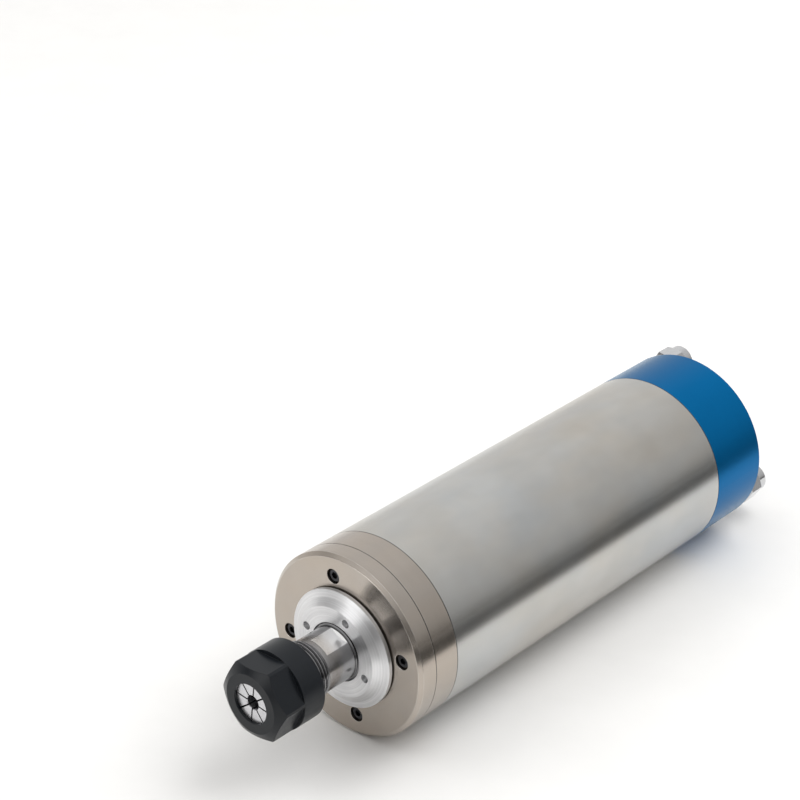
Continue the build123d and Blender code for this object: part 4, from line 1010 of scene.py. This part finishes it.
@dataclass(frozen=True)
class Patch:
    """Round light or dark patch of the room: its direction, where its edge starts and ends, and its grey."""

    turn: float
    rise: float
    inner: float
    outer: float
    level: float

    def lay(self, graph: Graph, way: bpy.types.NodeSocket, colour: bpy.types.NodeSocket) -> bpy.types.NodeSocket:
        """Lays the patch over the room's colour.

        Args:
            graph: the room's nodes.
            way: the direction looked in.
            colour: the room's colour there.

        Returns:
            The colour with the patch on it.
        """
        near = graph.vector_math("DOT_PRODUCT", way, direction(self.turn, self.rise)).outputs["Value"]
        share = graph.spread(near, math.cos(math.radians(self.outer)), math.cos(math.radians(self.inner)))
        return graph.mix(share, colour, (self.level, self.level, self.level))


@dataclass(frozen=True)
class Room:
    """Plain room that the metal reflects: four grey quarters with soft borders, and round patches on them.

    Each quarter's grey goes from the floor's level, 0, to straight above, 1.
    """

    rear_right: Stops = ((0.0, 0.26), (0.08, 0.38), (0.14, 0.47), (0.33, 0.58), (0.6, 0.67), (0.72, 0.7),
                         (0.82, 0.84), (1.0, 0.9))
    rear_left: Stops = ((0.0, 0.87), (0.3, 0.88), (1.0, 0.86))
    front_right: Stops = ((0.0, 0.35), (0.1, 0.26), (0.28, 0.3), (0.45, 0.57), (0.6, 0.8), (1.0, 0.9))
    front_left: Stops = ((0.0, 0.85), (0.14, 0.7), (0.45, 0.62), (0.62, 0.85), (1.0, 0.9))
    rear_border: tuple[float, float] = (-0.3, 0.12)
    front_border: tuple[float, float] = (-0.3, 0.3)
    side_border: tuple[float, float] = (-0.25, 0.1)
    tint: Colour = (1.0, 0.995, 0.985)
    patches: tuple[Patch, ...] = (
        Patch(turn=14.0, rise=4.0, inner=13.0, outer=22.0, level=0.08),
        Patch(turn=-50.0, rise=8.0, inner=12.0, outer=20.0, level=0.25),
        Patch(turn=-10.0, rise=32.0, inner=8.0, outer=16.0, level=1.0),
        Patch(turn=-18.0, rise=9.0, inner=8.0, outer=13.0, level=3.4),
    )

    def build(self, backdrop: Colour) -> None:
        """Sets the room round the stage.

        Args:
            backdrop: the colour that the camera itself sees behind the stage.
        """
        world = bpy.data.worlds.new("room")
        world.use_nodes = True
        bpy.context.scene.world = world
        world.node_tree.nodes.clear()
        graph = Graph(world.node_tree)
        way = graph.add("ShaderNodeTexCoord").outputs["Generated"]
        part = graph.split(way)
        rear = self.join(graph, part, self.rear_border, self.rear_right, self.rear_left)
        front = self.join(graph, part, self.front_border, self.front_right, self.front_left)
        colour = graph.mix(graph.spread(part[1], *self.side_border, 1.0, 0.0), rear, front)
        for patch in self.patches:
            colour = patch.lay(graph, way, colour)
        tinted = graph.mix(1.0, colour, self.tint, "MULTIPLY")
        seen = graph.add("ShaderNodeLightPath").outputs["Is Camera Ray"]
        background = graph.add("ShaderNodeBackground", {"Color": graph.mix(seen, tinted, backdrop)})
        graph.add("ShaderNodeOutputWorld", {"Surface": background.outputs[0]})

    def join(self, graph: Graph, part: bpy.types.NodeOutputs, border: tuple[float, float], right: Stops,
             left: Stops) -> bpy.types.NodeSocket:
        """Joins two quarters of the room with a soft border.

        Args:
            graph: the room's nodes.
            part: the x, y and z of the direction looked in.
            border: where the border starts and ends, from left to right.
            right: the right quarter's greys.
            left: the left quarter's greys.

        Returns:
            The colour of both.
        """
        share = graph.spread(part[0], *border, 1.0, 0.0)
        return graph.mix(share, graph.ramp(part[2], right), graph.ramp(part[2], left))


@dataclass(frozen=True)
class Studio:
    """Pale floor with a dark card beside the view, soft light from above and the room round them."""

    floor_z: float = -0.04
    floor_half: float = 4.0
    floor_colour: Colour = (0.80, 0.795, 0.785)
    floor_roughness: float = 0.55
    mottle_scale: float = 30.0
    mottle_share: float = 0.015
    mottle_noise: tuple[float, float] = (0.3, 0.7)
    card_low: tuple[float, float] = (0.154, -1.5)
    card_high: tuple[float, float] = (3.95, 3.95)
    card_lift: float = 0.0005
    card_roughness: float = 0.8
    card_fade: tuple[float, float] = (0.3, 1.0)
    card_greys: tuple[float, float] = (0.03, 0.2)
    lights: tuple[SoftLight, ...] = (
        SoftLight("key_light", (0.7, 0.9, 1.6), size=1.5, power=26.0),
        SoftLight("fill_light", (-1.1, -0.7, 1.5), size=1.6, power=9.0),
    )

    def build(self) -> None:
        """Builds the floor, the dark card, the lights and the room."""
        self.floor()
        self.card()
        for light in self.lights:
            light.build()
        Room().build(self.floor_colour)
        bpy.context.scene.view_settings.view_transform = "Standard"

    def plane(self, name: str, low: tuple[float, float], high: tuple[float, float], z: float) -> bpy.types.Object:
        """Makes a flat rectangle that is part of the stage.

        Args:
            name: the object's name.
            low: its lowest corner.
            high: its highest corner.
            z: its height.

        Returns:
            The new object.
        """
        mesh = bpy.data.meshes.new(name)
        corners = [(low[0], low[1], z), (high[0], low[1], z), (high[0], high[1], z), (low[0], high[1], z)]
        mesh.from_pydata(corners, [], [(0, 1, 2, 3)])
        piece = bpy.data.objects.new(name, mesh)
        bpy.context.scene.collection.objects.link(piece)
        return piece

    def paint(self, piece: bpy.types.Object, roughness: float) -> tuple[Graph, bpy.types.Node]:
        """Gives a piece of the stage its own material.

        Args:
            piece: the floor or the card.
            roughness: the material's roughness.

        Returns:
            The material's nodes and its Principled BSDF.
        """
        material = bpy.data.materials.new(piece.name)
        material.use_nodes = True
        piece.data.materials.append(material)
        shader = material.node_tree.nodes["Principled BSDF"]
        shader.inputs["Roughness"].default_value = roughness
        return Graph(material.node_tree), shader

    def floor(self) -> None:
        """Lays the pale floor."""
        half = self.floor_half
        piece = self.plane("floor", (-half, -half), (half, half), self.floor_z)
        graph, shader = self.paint(piece, self.floor_roughness)
        mottle = graph.noise(graph.place(), self.mottle_scale, detail=4.0, rough=0.6)
        shade = graph.spread(mottle, *self.mottle_noise, 1.0 - self.mottle_share, 1.0 + self.mottle_share)
        graph.feed(shader.inputs["Base Color"], graph.mix(1.0, self.floor_colour, graph.grey(shade), "MULTIPLY"))

    def card(self) -> None:
        """Lays a dark card beside the camera's view, seen from above in reflections alone."""
        piece = self.plane("dark_card", self.card_low, self.card_high, self.floor_z + self.card_lift)
        graph, shader = self.paint(piece, self.card_roughness)
        shade = graph.spread(graph.split(graph.place())[0], *self.card_fade, *self.card_greys)
        graph.feed(shader.inputs["Base Color"], graph.grey(shade))
        below = graph.add("ShaderNodeNewGeometry").outputs["Backfacing"]
        graph.feed(shader.inputs["Alpha"], graph.math("SUBTRACT", 1.0, below))
        piece.visible_camera = False
        piece.visible_diffuse = False
        piece.visible_shadow = False
        piece.visible_transmission = False


def main() -> None:
    """Loads the solids, builds the camera, the added pieces and the studio."""
    logging.basicConfig(level=logging.INFO, format="%(name)s: %(message)s")
    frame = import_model()
    Camera().build()
    finishes = {finish.slot: finish for finish in FINISHES}
    slots = {row["node"]: row["material_slot"] for row in frame["record"]["subparts"]}
    Solids(frame["nodes"], slots).dress(finishes)
    ThreadSet().build(finishes)
    Studio().build()


if __name__ == "__main__":
    main()
